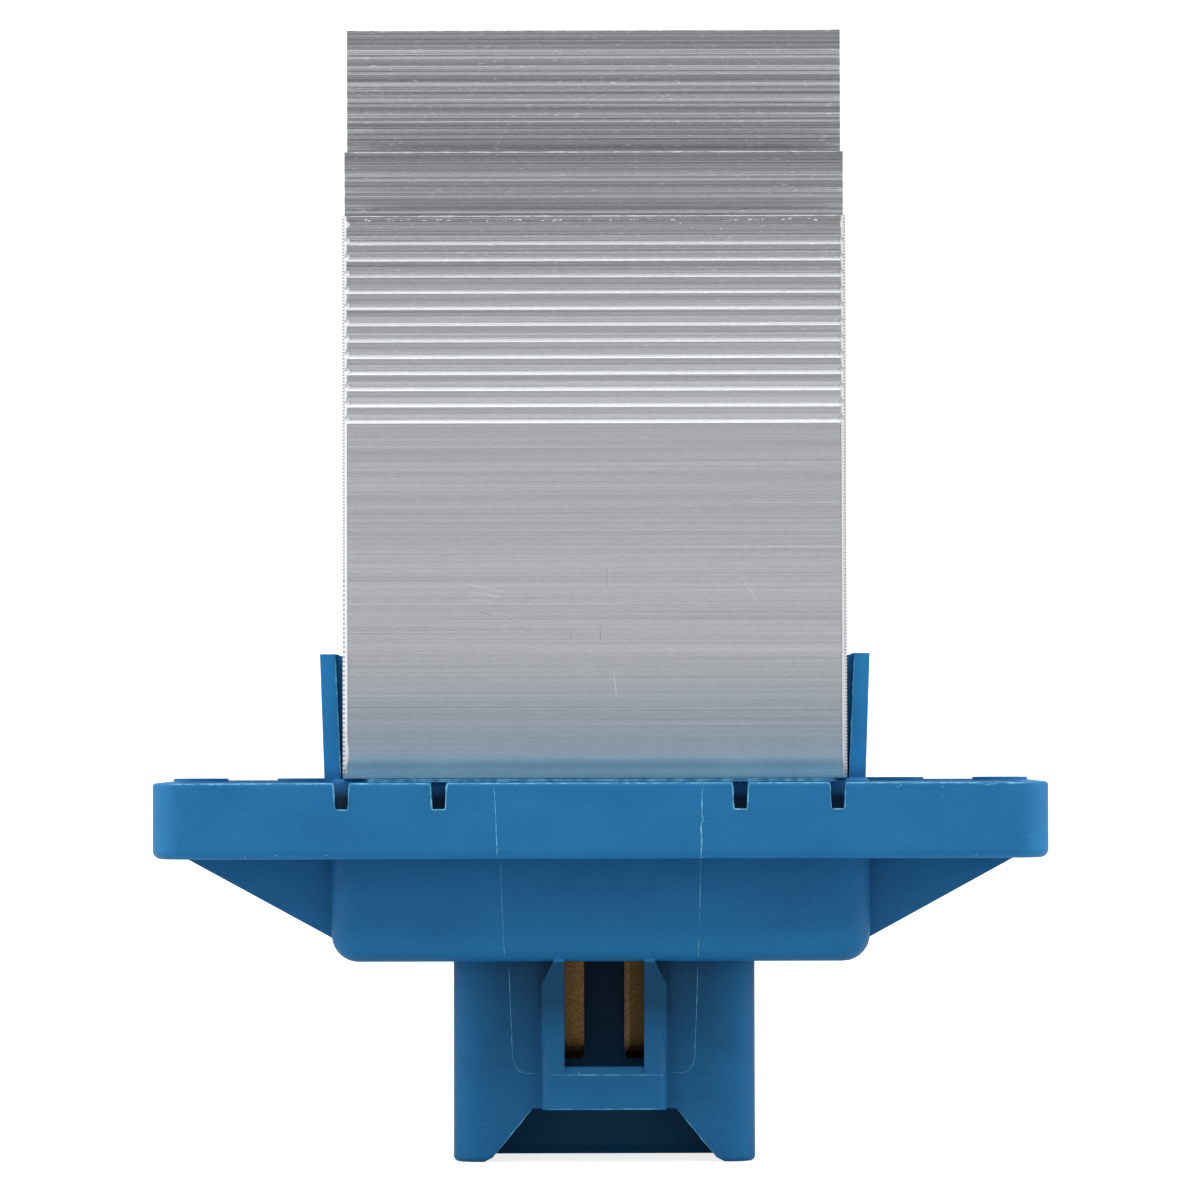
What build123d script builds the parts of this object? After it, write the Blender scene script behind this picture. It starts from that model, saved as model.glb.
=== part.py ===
from build123d import *
import os

# Blower motor resistor: a blue moulded housing carries an extruded heat sink on top and a
# connector socket below. The electronics hang under the heat sink, inside the tub.
# Millimetres. The origin is midway between the two screw holes, on the flange's rim face.
# +Z points up to the heat sink, X runs along the flange, and the latch side faces -Y.

# Flange
flange_length = 82.4
flange_depth = 40.0
flange_height = 7.0
flange_floor = 2.0
flange_corner_radius = 4.2
flange_edge_radius = 0.8
rim_edge_radius = 0.35
rim_wall = 2.0
screw_spacing = 75.4
screw_hole_diameter = 4.0
screw_boss_diameter = 6.6
collar_diameter = 5.2
ear_rib_offset = 7.0
ear_rib_wall = 1.5
ear_pad_x = 28.4
ear_pad_diameter = 4.2

# Slots in the rim, a pair at each side of the centre, front and back
slot_centre_x = -1.0
slot_inner_x = 13.8
slot_outer_x = 22.7
slot_depth = 2.45
slot_bottom_width = 1.2
slot_top_width = 1.5

# Tub
tub_length = 50.0
tub_depth = 25.0
tub_bottom = -16.7
tub_wall = 1.8
tub_end_wall = 2.6
tub_floor = 1.8
tub_corner_radius = 2.8
tub_bottom_radius = 2.5
deck_height = 0.3
deck_edge_bevel = 0.25

# Gussets under the ears
gusset_reach = 38.8
gusset_drop = 7.55
gusset_wall = 2.0

# Heat sink
sink_centre_x = -0.5
sink_length = 46.6
fin_pitch = 6.5
fin_wall = 1.8
fin_tops = (52.36, 58.85, 70.95)
base_thickness = 4.0
foot_rise = 1.2
foot_recess = 0.78
foot_radius = 4.2
foot_edge_radius = 0.3
root_radius = 0.8
groove_pitch = 1.5
groove_depth = 0.3
groove_lower_side = 0.42
groove_upper_side = 0.45
groove_head = 2.3
smooth_height = 33.2
end_chamfer = 0.45

# Arms that grip the ends of the heat sink
arm_height = 11.9
arm_depth = 20.0
arm_wall = 1.55
arm_gap = 0.3
arm_lean = 0.4
arm_thinning = 0.1
guide_rib_wall = 1.5
guide_rib_offset = 6.5
guide_lead_in = 0.4
guide_fit = 0.05

# Connector socket
socket_centre_x = 0.3
socket_length = 28.2
socket_depth = 14.0
socket_mouth = -35.5
socket_wall = 1.7
socket_corner_radius = 2.4
socket_inner_radius = 0.6
socket_edge_radius = 0.5
notch_bottom_half = 10.8
notch_top_half = 6.7
notch_height = 5.0
notch_corner_bevel = 0.45
mouth_lead_in = 0.8
mouth_lead_depth = 0.5
latch_gap_half = 3.7
latch_rib_wall = 2.1
latch_rib_reach = 3.0
latch_rib_taper_width = 1.05
latch_rib_taper_height = 2.1
latch_rib_edge_radius = 1.1
latch_rib_root_reach = 1.2
latch_rib_root_height = 5.9
bridge_wall = 1.8
bridge_height = 3.25
bridge_bevel_height = 0.75
bridge_bevel_depth = 0.5

# Contacts
blade_width = 6.3
blade_wall = 0.8
blade_gap = 3.8
blade_tip = -26.2
blade_tip_taper = 0.5
blade_tip_bevel_height = 1.3
blade_tip_bevel_depth = 0.25
blade_side_bevel_width = 0.5
blade_side_bevel_depth = 0.2
pin_width = 2.3
pin_wall = 0.64
pin_blade_gap = 1.05
tail_width = 1.2
tail_rise = 0.8
shoulder_drop = 1.0
pin_block_height = 2.0
pin_block_margin = 1.2

# Circuit board
board_length = 30.0
board_depth = 20.6
board_thickness = 1.6
board_top = -9.0
board_post_diameter = 3.0
board_post_inset = 1.5
board_pin_diameter = 1.5
hole_clearance = 0.1

# Power transistors, lying flat under the base of the heat sink
transistor_places = (-9.7, 1.1)
transistor_width = 10.0
plate_length = 15.5
plate_wall = 1.3
body_length = 9.2
body_height = 3.2
plate_end_y = -10.2
plate_hole_inset = 2.8
lead_pitch = 2.54
lead_width = 0.8
lead_wall = 0.5
lead_drop = 1.3
lead_reach = 1.6
pad_thickness = 0.25
pad_margin = 0.3
body_edge = 0.5
plate_corner = 1.2
lead_hole_diameter = 1.15

# Screws and bushes
screw_diameter = 3.0
screw_fit = 0.05
screw_head_diameter = 5.5
screw_head_height = 2.0
screw_bite = 3.2
screw_tip_gap = 0.3
screw_tip_bevel = 0.4
screw_head_edge = 0.5
drive_width = 0.9
drive_length = 3.3
drive_depth = 0.9
bush_wall = 0.35
bush_flange_diameter = 6.0
bush_flange_height = 0.8
sink_screw_x = 18.6
sink_boss_diameter = 6.5
sink_screw_recess = 2.6
sink_hole_clearance = 0.1
sink_head_clearance = 0.2
plate_hole_clearance = 0.1
bush_end_gap = 0.1

# Components on the board
capacitor_diameter = 8.0
capacitor_height = 7.5
capacitor_x = 10.6
capacitor_y = -5.4
capacitor_groove = 0.8
capacitor_lead_spacing = 3.5
wire_diameter = 0.6
fuse_diameter = 2.6
fuse_length = 8.0
fuse_x = -4.0
fuse_y = 8.8
fuse_lead_reach = 2.5
shunt_length = 6.4
shunt_width = 3.0
shunt_wall = 0.4
shunt_height = 1.6
shunt_x = 9.0
shunt_y = 6.6
chip_length = 4.9
chip_width = 3.9
chip_height = 1.5
chip_x = -7.9
chip_y = -4.5
chip_leg_pitch = 1.27
chip_leg_width = 0.42
chip_leg_reach = 1.05
chip_leg_wall = 0.25
diode_end_reach = 0.5
suppressor_size = (6.8, 5.8, 2.2)
suppressor_place = (0.0, -7.0)
zener_size = (4.2, 2.6, 2.0)
zener_place = (-8.0, -8.9)
resistor_size = (2.0, 1.25, 0.5)
resistor_count = 6
resistor_step = 2.4
resistor_row_start = -6.6
resistor_row_y = 3.2
ceramic_size = (3.2, 1.6, 1.2)
ceramic_count = 3
ceramic_step = 2.6
ceramic_row_x = -12.6
ceramic_row_start = -3.4
end_cap_length = 0.4
end_cap_proud = 0.03

# How far every cutter runs past the face that it opens, and how near counts as level
run_out = 1.0
level = 0.001

# Worked out from the sizes above
rim_inner_depth = flange_depth - 2 * rim_wall
rim_inner_length = flange_length - 2 * rim_wall
tub_floor_top = tub_bottom + tub_floor
sink_depth = 4 * fin_pitch + fin_wall
sink_bottom = deck_height
base_top = sink_bottom + base_thickness
board_bottom = board_top - board_thickness
socket_front = -socket_depth / 2
latch_front = socket_front - latch_rib_reach
bridge_bottom = socket_mouth + notch_height
plate_top = sink_bottom - pad_thickness
plate_bottom = plate_top - plate_wall
plate_hole_y = plate_end_y + plate_hole_inset
body_end_y = plate_end_y + plate_length
lead_top = plate_bottom - lead_drop
lead_y = body_end_y + lead_reach
tail_top = board_top + tail_rise


def block(x0, x1, y0, y1, z0, z1):
    """A plain block between two corners."""
    middle = Pos((x0 + x1) / 2, (y0 + y1) / 2, (z0 + z1) / 2)
    return middle * Box(x1 - x0, y1 - y0, z1 - z0)


def rounded_block(length, depth, radius, z0, z1, x=0.0):
    """An upright block with rounded vertical edges."""
    return extrude(Pos(x, 0, z0) * RectangleRounded(length, depth, radius), amount=z1 - z0)


def upright(x, y, diameter, z0, z1):
    """An upright round bar."""
    return Pos(x, y, (z0 + z1) / 2) * Cylinder(diameter / 2, z1 - z0)


def front_prism(points, y0, y1):
    """An outline in X and Z, drawn out from y0 to y1."""
    outline = Polyline(*[(x, y0, z) for x, z in points], close=True)
    return extrude(make_face(outline), amount=y1 - y0, dir=(0, 1, 0))


def side_prism(points, x0, x1):
    """An outline in Y and Z, drawn out from x0 to x1."""
    outline = Polyline(*[(x0, y, z) for y, z in points], close=True)
    return extrude(make_face(outline), amount=x1 - x0, dir=(1, 0, 0))


def both_ends(shape, x=0.0):
    """A shape and its mirror image about the plane at x."""
    return shape + mirror(shape, about=Plane.YZ.offset(x))


def both_sides(shape):
    """A shape and its mirror image, front to back."""
    return shape + mirror(shape, about=Plane.XZ)


def flange():
    """The tray of the flange: an upright rim round a thin floor."""
    outside = rounded_block(flange_length, flange_depth, flange_corner_radius, -flange_height, 0)
    outside = fillet(outside.edges().group_by(Axis.Z)[0], flange_edge_radius)
    outside = fillet(outside.edges().group_by(Axis.Z)[-1], rim_edge_radius)
    channel = rounded_block(rim_inner_length, rim_inner_depth, flange_corner_radius - rim_wall,
                            flange_floor - flange_height, run_out)
    return outside - channel


def ears():
    """Bosses and ribs that stand in the tray beside the tub."""
    hole_x = screw_spacing / 2
    root_x = tub_length / 2 - tub_wall / 2
    floor = -flange_height + flange_edge_radius
    wall = ear_rib_wall / 2
    shape = upright(hole_x, 0, screw_boss_diameter, floor, 0)
    shape += upright(hole_x, 0, collar_diameter, floor, deck_height)
    shape += upright(ear_pad_x, 0, ear_pad_diameter, floor, deck_height)
    shape += block(root_x, ear_pad_x, -ear_pad_diameter / 2, ear_pad_diameter / 2, floor, deck_height)
    shape += block(root_x, hole_x, -wall, wall, floor, 0)
    rib = block(root_x, flange_length / 2 - rim_wall / 2,
                ear_rib_offset - wall, ear_rib_offset + wall, floor, 0)
    return both_ends(shape + both_sides(rib))


def gussets():
    """Four three-cornered webs between the ears and the tub."""
    root_x = tub_length / 2 - tub_wall / 2
    top = -flange_height
    outline = [(root_x, top), (gusset_reach, top), (tub_length / 2, top - gusset_drop),
               (root_x, top - gusset_drop)]
    web = front_prism(outline, ear_rib_offset - gusset_wall / 2, ear_rib_offset + gusset_wall / 2)
    return both_ends(both_sides(web))


def rim_slots():
    """Cutters for the tapered slots in the front and back of the rim."""
    outer_y = -flange_depth / 2
    cutters = Part()
    for offset in (-slot_outer_x, -slot_inner_x, slot_inner_x, slot_outer_x):
        x = slot_centre_x + offset
        outline = [(x - slot_bottom_width / 2, -slot_depth), (x + slot_bottom_width / 2, -slot_depth),
                   (x + slot_top_width / 2, run_out), (x - slot_top_width / 2, run_out)]
        cutters += front_prism(outline, outer_y - run_out, outer_y + rim_wall + run_out)
    return both_sides(cutters)


def tub():
    """The outside of the tub, up to the deck that the heat sink seats on."""
    shape = rounded_block(tub_length, tub_depth, tub_corner_radius, tub_bottom, deck_height)
    shape = chamfer(shape.edges().group_by(Axis.Z)[-1], deck_edge_bevel)
    return fillet(shape.edges().group_by(Axis.Z)[0], tub_bottom_radius)


def tub_hollow():
    """The space in the tub."""
    return rounded_block(tub_length - 2 * tub_end_wall, tub_depth - 2 * tub_wall,
                         tub_corner_radius - tub_wall, tub_floor_top, deck_height + run_out)


def seats():
    """What stands on the tub's floor: screw bosses, board posts and the pin block."""
    low = tub_floor_top - tub_floor / 2
    shape = Part()
    for side in (-1, 1):
        x = sink_centre_x + side * sink_screw_x
        shape += upright(x, 0, sink_boss_diameter, low, deck_height)
    for x, y in board_post_places():
        shape += upright(x, y, board_post_diameter, low, board_bottom)
        shape += upright(x, y, board_pin_diameter, low, board_top)
    half = contact_span() / 2 + pin_block_margin
    shape += block(socket_centre_x - half, socket_centre_x + half, -blade_wall / 2 - pin_block_margin,
                   blade_wall / 2 + pin_block_margin, low, tub_floor_top + pin_block_height)
    return shape


def sink_screw_holes():
    """Cutters for the two screws that come up through the tub into the heat sink."""
    cutters = Part()
    for side in (-1, 1):
        x = sink_centre_x + side * sink_screw_x
        cutters += upright(x, 0, screw_diameter + 2 * sink_hole_clearance,
                           tub_bottom - run_out, deck_height + run_out)
        cutters += upright(x, 0, screw_head_diameter + 2 * sink_head_clearance, tub_bottom - run_out,
                           tub_bottom + sink_screw_recess)
    return cutters


def arms():
    """Two arms that stand on the deck and grip the ends of the heat sink."""
    end_x = sink_length / 2
    inner_x = end_x + arm_gap
    outer_x = inner_x + arm_wall
    root = flange_floor - flange_height - flange_floor / 2
    arm = front_prism([(inner_x, deck_height), (outer_x, deck_height),
                       (outer_x + arm_lean, arm_height),
                       (inner_x + arm_lean + arm_thinning, arm_height)],
                      -arm_depth / 2, arm_depth / 2)
    arm += block(tub_length / 2 - tub_wall / 2, outer_x, -arm_depth / 2, arm_depth / 2,
                 root, deck_height)
    rib_x = end_x + guide_fit
    middle_x = (inner_x + outer_x) / 2
    rib = front_prism([(rib_x, deck_height), (middle_x, deck_height), (middle_x, arm_height),
                       (inner_x + arm_lean, arm_height), (rib_x, arm_height - guide_lead_in)],
                      guide_rib_offset - guide_rib_wall / 2, guide_rib_offset + guide_rib_wall / 2)
    arm += both_sides(rib)
    return both_ends(Pos(sink_centre_x, 0, 0) * arm, sink_centre_x)


def contact_span():
    """From the outer edge of one signal pin to that of the other."""
    return blade_gap + 2 * (blade_width + pin_blade_gap + pin_width)


def blade_places():
    """Middles of the two power blades."""
    reach = (blade_gap + blade_width) / 2
    return (socket_centre_x - reach, socket_centre_x + reach)


def pin_places():
    """Middles of the two signal pins."""
    reach = (contact_span() - pin_width) / 2
    return (socket_centre_x - reach, socket_centre_x + reach)


def socket():
    """The walls of the connector socket and the latch guide at its front."""
    x = socket_centre_x
    joined = tub_bottom + tub_floor / 2
    shape = rounded_block(socket_length, socket_depth, socket_corner_radius, socket_mouth, joined, x)
    shape = fillet(shape.edges().group_by(Axis.Z)[0], socket_edge_radius)
    outer = latch_gap_half + latch_rib_wall
    rib = front_prism([(x + latch_gap_half, joined), (x + outer - latch_rib_taper_width, joined),
                       (x + outer - latch_rib_taper_width, tub_bottom),
                       (x + outer, tub_bottom - latch_rib_taper_height),
                       (x + outer, bridge_bottom), (x + latch_gap_half, bridge_bottom)],
                      latch_front - latch_rib_root_reach, socket_front + socket_wall / 2)
    root_y = latch_front - latch_rib_root_reach
    rib -= side_prism([(root_y - run_out, tub_bottom), (root_y, tub_bottom),
                       (latch_front, tub_bottom - latch_rib_root_height),
                       (latch_front, bridge_bottom - run_out),
                       (root_y - run_out, bridge_bottom - run_out)], x, x + outer + run_out)
    shape += both_ends(rib, x)
    back = latch_front + bridge_wall
    top = bridge_bottom + bridge_height
    shape += side_prism([(latch_front, bridge_bottom), (back, bridge_bottom),
                         (back, top + bridge_bevel_height),
                         (latch_front + bridge_bevel_depth, top + bridge_bevel_height),
                         (latch_front, top)], x - outer, x + outer)
    corners = shape.edges().filter_by(Axis.Z).filter_by(
        lambda e: abs(e.center().Y - latch_front) < level and abs(abs(e.center().X - x) - outer) < level)
    return fillet(corners, latch_rib_edge_radius)


def socket_hollow():
    """The space in the socket, with the latch gap and the notch in its front wall."""
    x = socket_centre_x
    below = socket_mouth - run_out
    inner_length = socket_length - 2 * socket_wall
    inner_depth = socket_depth - 2 * socket_wall
    space = rounded_block(inner_length, inner_depth, socket_inner_radius, below, tub_bottom, x)
    for side in (-1, 1):
        wall_y = side * inner_depth / 2
        reach = inner_length / 2 - socket_inner_radius
        space += side_prism([(wall_y, socket_mouth + mouth_lead_in), (wall_y, socket_mouth),
                             (wall_y + side * mouth_lead_depth, socket_mouth)], x - reach, x + reach)
    back = socket_front + socket_wall + run_out
    space += block(x - latch_gap_half, x + latch_gap_half, latch_front + bridge_wall, back,
                   below, tub_bottom)
    slant = (notch_bottom_half - notch_top_half) / notch_height
    foot_half = notch_bottom_half + notch_corner_bevel
    bevel_half = notch_bottom_half - slant * notch_corner_bevel
    bevel_z = socket_mouth + notch_corner_bevel
    space += front_prism([(x - foot_half, below), (x + foot_half, below), (x + foot_half, socket_mouth),
                          (x + bevel_half, bevel_z), (x + notch_top_half, bridge_bottom),
                          (x - notch_top_half, bridge_bottom), (x - bevel_half, bevel_z),
                          (x - foot_half, socket_mouth)], socket_front - run_out, back)
    return space


def contact_slots():
    """Where the contacts pass through the floor of the tub, with no play."""
    top = tub_floor_top + pin_block_height + run_out
    cutters = Part()
    for x in blade_places():
        cutters += block(x - blade_width / 2, x + blade_width / 2, -blade_wall / 2, blade_wall / 2,
                         tub_bottom - run_out, top)
    for x in pin_places():
        cutters += block(x - pin_width / 2, x + pin_width / 2, -pin_wall / 2, pin_wall / 2,
                         tub_bottom - run_out, top)
    return cutters


def housing():
    """The whole blue moulding."""
    shape = flange() + tub() + ears() + gussets()
    shape -= rim_slots()
    for side in (-1, 1):
        shape -= upright(side * screw_spacing / 2, 0, screw_hole_diameter, -flange_height - run_out,
                         deck_height + run_out)
    shape -= tub_hollow()
    shape += seats()
    shape += arms()
    shape += socket()
    shape -= socket_hollow()
    shape -= sink_screw_holes()
    shape -= contact_slots()
    return shape


def fin_outline(y, top):
    """One fin in section: plain below, grooved above, with a plain head."""
    half = fin_wall / 2
    count = int((top - groove_head - smooth_height) / groove_pitch) + 1
    right = [(y + half, sink_bottom + (foot_rise + base_thickness) / 2)]
    for number in range(count - 1, -1, -1):
        z = top - groove_head - number * groove_pitch
        right.append((y + half, z - groove_lower_side))
        right.append((y + half - groove_depth, z))
        right.append((y + half, z + groove_upper_side))
    right.append((y + half, top))
    left = [(2 * y - right_y, z) for right_y, z in reversed(right)]
    return right + left


def sink_profile():
    """The section of the extrusion, in Y and Z."""
    edge_y = sink_depth / 2
    foot_y = edge_y - foot_recess
    foot_top = sink_bottom + foot_rise
    profile = make_face(Polyline((-foot_y, sink_bottom), (foot_y, sink_bottom), (edge_y, foot_top),
                                 (edge_y, base_top), (-edge_y, base_top), (-edge_y, foot_top),
                                 close=True))
    for place, top in zip((-2, -1, 0, 1, 2), (*fin_tops, *fin_tops[1::-1])):
        profile += make_face(Polyline(*fin_outline(place * fin_pitch, top), close=True))
    corners = profile.vertices().filter_by(lambda v: abs(v.Y - base_top) < level)
    roots = corners.filter_by(lambda v: abs(v.X) < edge_y - fin_wall / 2)
    profile = fillet(roots, root_radius)
    feet = profile.vertices().filter_by(lambda v: abs(v.Y - foot_top) < level)
    profile = fillet(feet.filter_by(lambda v: abs(v.X) > foot_y), foot_radius)
    return fillet(profile.vertices().filter_by(lambda v: abs(v.Y - sink_bottom) < level),
                  foot_edge_radius)


def heat_sink():
    """The aluminium extrusion, sawn to length, broken at its outer corners and tapped."""
    start = Plane(origin=(sink_centre_x - sink_length / 2, 0, 0), x_dir=(0, 1, 0), z_dir=(1, 0, 0))
    shape = extrude(start * sink_profile(), amount=sink_length)
    end_x = sink_centre_x + sink_length / 2
    edge_y = sink_depth / 2
    corner = Polyline((end_x - end_chamfer, edge_y, 0), (end_x, edge_y, 0),
                      (end_x, edge_y - end_chamfer, 0), close=True)
    wedge = extrude(make_face(corner), amount=fin_tops[0] + run_out, dir=(0, 0, 1))
    shape -= both_ends(both_sides(wedge), sink_centre_x)
    for x, y in screw_places():
        shape -= upright(x, y, screw_diameter, sink_bottom - run_out,
                         sink_bottom + screw_bite + screw_tip_gap)
    return shape


def transistor_xs():
    """Middles of the two transistors."""
    return [sink_centre_x + place for place in transistor_places]


def screw_places():
    """Where screws enter the base of the heat sink."""
    places = [(x, plate_hole_y) for x in transistor_xs()]
    places += [(sink_centre_x - sink_screw_x, 0), (sink_centre_x + sink_screw_x, 0)]
    return places


def screw(x, y, head_bottom, head_top):
    """A pan-head screw, driven upward into the base of the heat sink."""
    head = upright(x, y, screw_head_diameter, head_bottom, head_top)
    head = fillet(head.edges().group_by(Axis.Z)[0], screw_head_edge)
    reach = drive_length / 2
    head -= block(x - reach, x + reach, y - drive_width / 2, y + drive_width / 2,
                  head_bottom - run_out, head_bottom + drive_depth)
    head -= block(x - drive_width / 2, x + drive_width / 2, y - reach, y + reach,
                  head_bottom - run_out, head_bottom + drive_depth)
    shank = upright(x, y, screw_diameter - 2 * screw_fit, head_top, sink_bottom + screw_bite)
    tip = shank.edges().group_by(Axis.Z)[-1]
    return head + chamfer(tip, screw_tip_bevel)


def transistor_screws():
    """The screws through the transistor plates."""
    head_top = plate_bottom - bush_flange_height
    return [screw(x, plate_hole_y, head_top - screw_head_height, head_top) for x in transistor_xs()]


def heat_sink_screws():
    """The long screws through the tub's bosses."""
    head_top = tub_bottom + sink_screw_recess
    return [screw(sink_centre_x + side * sink_screw_x, 0, head_top - screw_head_height, head_top)
            for side in (-1, 1)]


def insulating_bushes():
    """Shoulder washers that keep the screws off the transistor plates."""
    bushes = []
    for x in transistor_xs():
        bush = upright(x, plate_hole_y, bush_flange_diameter,
                       plate_bottom - bush_flange_height, plate_bottom)
        bush += upright(x, plate_hole_y, screw_diameter + 2 * bush_wall, plate_bottom,
                        plate_top - bush_end_gap)
        bush -= upright(x, plate_hole_y, screw_diameter, plate_bottom - 2 * run_out,
                        plate_top + run_out)
        bushes.append(bush)
    return bushes


def transistor_body(x):
    """The moulded body under the plate, with drafted ends."""
    shape = block(x - transistor_width / 2, x + transistor_width / 2, body_end_y - body_length,
                  body_end_y, plate_bottom - body_height, plate_bottom)
    low = shape.faces().sort_by(Axis.Z)[0].edges()
    return chamfer(low, body_edge)


def transistor_plate(x):
    """The metal back plate, with its screw hole and clipped corners."""
    shape = block(x - transistor_width / 2, x + transistor_width / 2, plate_end_y, body_end_y,
                  plate_bottom, plate_top)
    corners = shape.edges().filter_by(Axis.Z).group_by(Axis.Y)[0]
    shape = chamfer(corners, plate_corner)
    hole = screw_diameter + 2 * (bush_wall + plate_hole_clearance)
    return shape - upright(x, plate_hole_y, hole, plate_bottom - run_out, plate_top + run_out)


def transistor_leads(x):
    """Three leads, bent down into the board."""
    leads = []
    low = board_bottom - tail_rise
    half = lead_wall / 2
    for number in (-1, 0, 1):
        middle = x + number * lead_pitch
        outline = [(body_end_y, lead_top - half), (lead_y - half, lead_top - half),
                   (lead_y - half, low), (lead_y + half, low),
                   (lead_y + half, lead_top), (lead_y, lead_top + half), (body_end_y, lead_top + half)]
        leads.append(side_prism(outline, middle - lead_width / 2, middle + lead_width / 2))
    return leads


def thermal_pad(x):
    """The insulating pad between plate and heat sink."""
    half = transistor_width / 2 + pad_margin
    pad = block(x - half, x + half, plate_end_y - pad_margin, body_end_y + pad_margin,
                plate_top, sink_bottom)
    return pad - upright(x, plate_hole_y, screw_diameter + 2 * bush_wall, plate_top - run_out,
                         sink_bottom + run_out)


def contact(x, width, wall, tails):
    """A stamped contact: a pressed bevel down one side and round its tip, solder tails above."""
    half = width / 2
    face = wall / 2
    shoulder = board_bottom - shoulder_drop
    outline = [(x - half, shoulder), (x - half, blade_tip + blade_tip_taper),
               (x - half + blade_tip_taper / 2, blade_tip), (x + half - blade_tip_taper / 2, blade_tip),
               (x + half, blade_tip + blade_tip_taper), (x + half, shoulder)]
    shape = front_prism(outline, -face, face)
    for side in (-1, 1):
        shape -= side_prism([(side * face, blade_tip), (side * face, blade_tip + blade_tip_bevel_height),
                             (side * (face - blade_tip_bevel_depth), blade_tip)], x - half, x + half)
    pressed = Polyline((x - half, -face, blade_tip), (x - half + blade_side_bevel_width, -face, blade_tip),
                       (x - half, blade_side_bevel_depth - face, blade_tip), close=True)
    shape -= extrude(make_face(pressed), amount=shoulder - blade_tip, dir=(0, 0, 1))
    for offset in tails:
        shape += block(x + offset - tail_width / 2, x + offset + tail_width / 2, -face, face,
                       shoulder, tail_top)
    return shape


def power_blade(x):
    """A wide brass blade with two solder tails."""
    return contact(x, blade_width, blade_wall, blade_tails())


def blade_tails():
    """Places of a power blade's tails, from its middle."""
    reach = blade_width / 2 - tail_width
    return (-reach, reach)


def signal_pin(x):
    """A narrow contact with one solder tail."""
    return contact(x, pin_width, pin_wall, (0,))


def board_post_places():
    """Middles of the posts that carry the board."""
    reach_x = board_length / 2 - board_post_inset
    reach_y = board_depth / 2 - board_post_inset
    return [(sink_centre_x + sx * reach_x, sy * reach_y) for sx in (-1, 1) for sy in (-1, 1)]


def circuit_board():
    """The board, with a hole for each tail, lead, wire and post."""
    x0 = sink_centre_x - board_length / 2
    shape = block(x0, x0 + board_length, -board_depth / 2, board_depth / 2, board_bottom, board_top)
    low = board_bottom - run_out
    high = board_top + run_out
    for x, y in board_post_places():
        shape -= upright(x, y, board_pin_diameter + 2 * hole_clearance, low, high)
    tails = [x + offset for x in blade_places() for offset in blade_tails()] + [*pin_places()]
    for x in tails:
        reach = tail_width / 2 + hole_clearance
        shape -= block(x - reach, x + reach, -blade_wall / 2 - hole_clearance,
                       blade_wall / 2 + hole_clearance, low, high)
    for middle in transistor_xs():
        for number in (-1, 0, 1):
            x = middle + number * lead_pitch
            shape -= upright(x, lead_y, lead_hole_diameter, low, high)
    for x, y in wire_places():
        shape -= upright(x, y, wire_diameter + 2 * hole_clearance, low, high)
    return shape


def capacitor_wires():
    """Where the capacitor's two wires enter the board."""
    x = sink_centre_x + capacitor_x
    reach = capacitor_lead_spacing / 2
    return [(x - reach, capacitor_y), (x + reach, capacitor_y)]


def fuse_wires():
    """Where the fuse's two wires enter the board."""
    reach = fuse_length / 2 + fuse_lead_reach
    x = sink_centre_x + fuse_x
    return [(x - reach, fuse_y), (x + reach, fuse_y)]


def wire_places():
    """All holes for round wires."""
    return capacitor_wires() + fuse_wires()


def filter_capacitor():
    """A can standing on the board, crimped near its foot, with two straight wires."""
    x = sink_centre_x + capacitor_x
    radius = capacitor_diameter / 2
    can = upright(x, capacitor_y, capacitor_diameter, board_top, board_top + capacitor_height)
    can = fillet(can.edges().filter_by(GeomType.CIRCLE), radius / 8)
    crimp_z = board_top + capacitor_height / 5
    can -= Pos(x, capacitor_y, crimp_z) * Torus(radius, capacitor_groove / 2)
    for wire_x, wire_y in capacitor_wires():
        can += upright(wire_x, wire_y, wire_diameter, board_bottom - tail_rise, board_top)
    return can


def thermal_fuse():
    """A small can on the board, with one wire at each end."""
    x = sink_centre_x + fuse_x
    z = board_top + fuse_diameter / 2
    can = Pos(x, fuse_y, z) * Rot(0, 90, 0) * Cylinder(fuse_diameter / 2, fuse_length)
    can = fillet(can.edges().filter_by(GeomType.CIRCLE), fuse_diameter / 10)
    (left, _), (right, _) = fuse_wires()
    can += Pos((left + right) / 2, fuse_y, z) * Rot(0, 90, 0) * Cylinder(wire_diameter / 2, right - left)
    for wire_x in (left, right):
        can += Pos(wire_x, fuse_y, z) * Sphere(wire_diameter / 2)
        can += upright(wire_x, fuse_y, wire_diameter, board_bottom - tail_rise, z)
    return can


def current_shunt():
    """A bridge of resistance strip that stands on its two feet."""
    x = sink_centre_x + shunt_x
    half = shunt_length / 2
    foot = shunt_length / 5
    top = board_top + shunt_height
    outline = [(x - half, board_top), (x - half + foot, board_top),
               (x - half + foot, top - shunt_wall), (x + half - foot, top - shunt_wall),
               (x + half - foot, board_top), (x + half, board_top), (x + half, board_top + shunt_wall),
               (x + half - foot + shunt_wall, board_top + shunt_wall),
               (x + half - foot + shunt_wall, top), (x - half + foot - shunt_wall, top),
               (x - half + foot - shunt_wall, board_top + shunt_wall),
               (x - half, board_top + shunt_wall)]
    return front_prism(outline, shunt_y - shunt_width / 2, shunt_y + shunt_width / 2)


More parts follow.
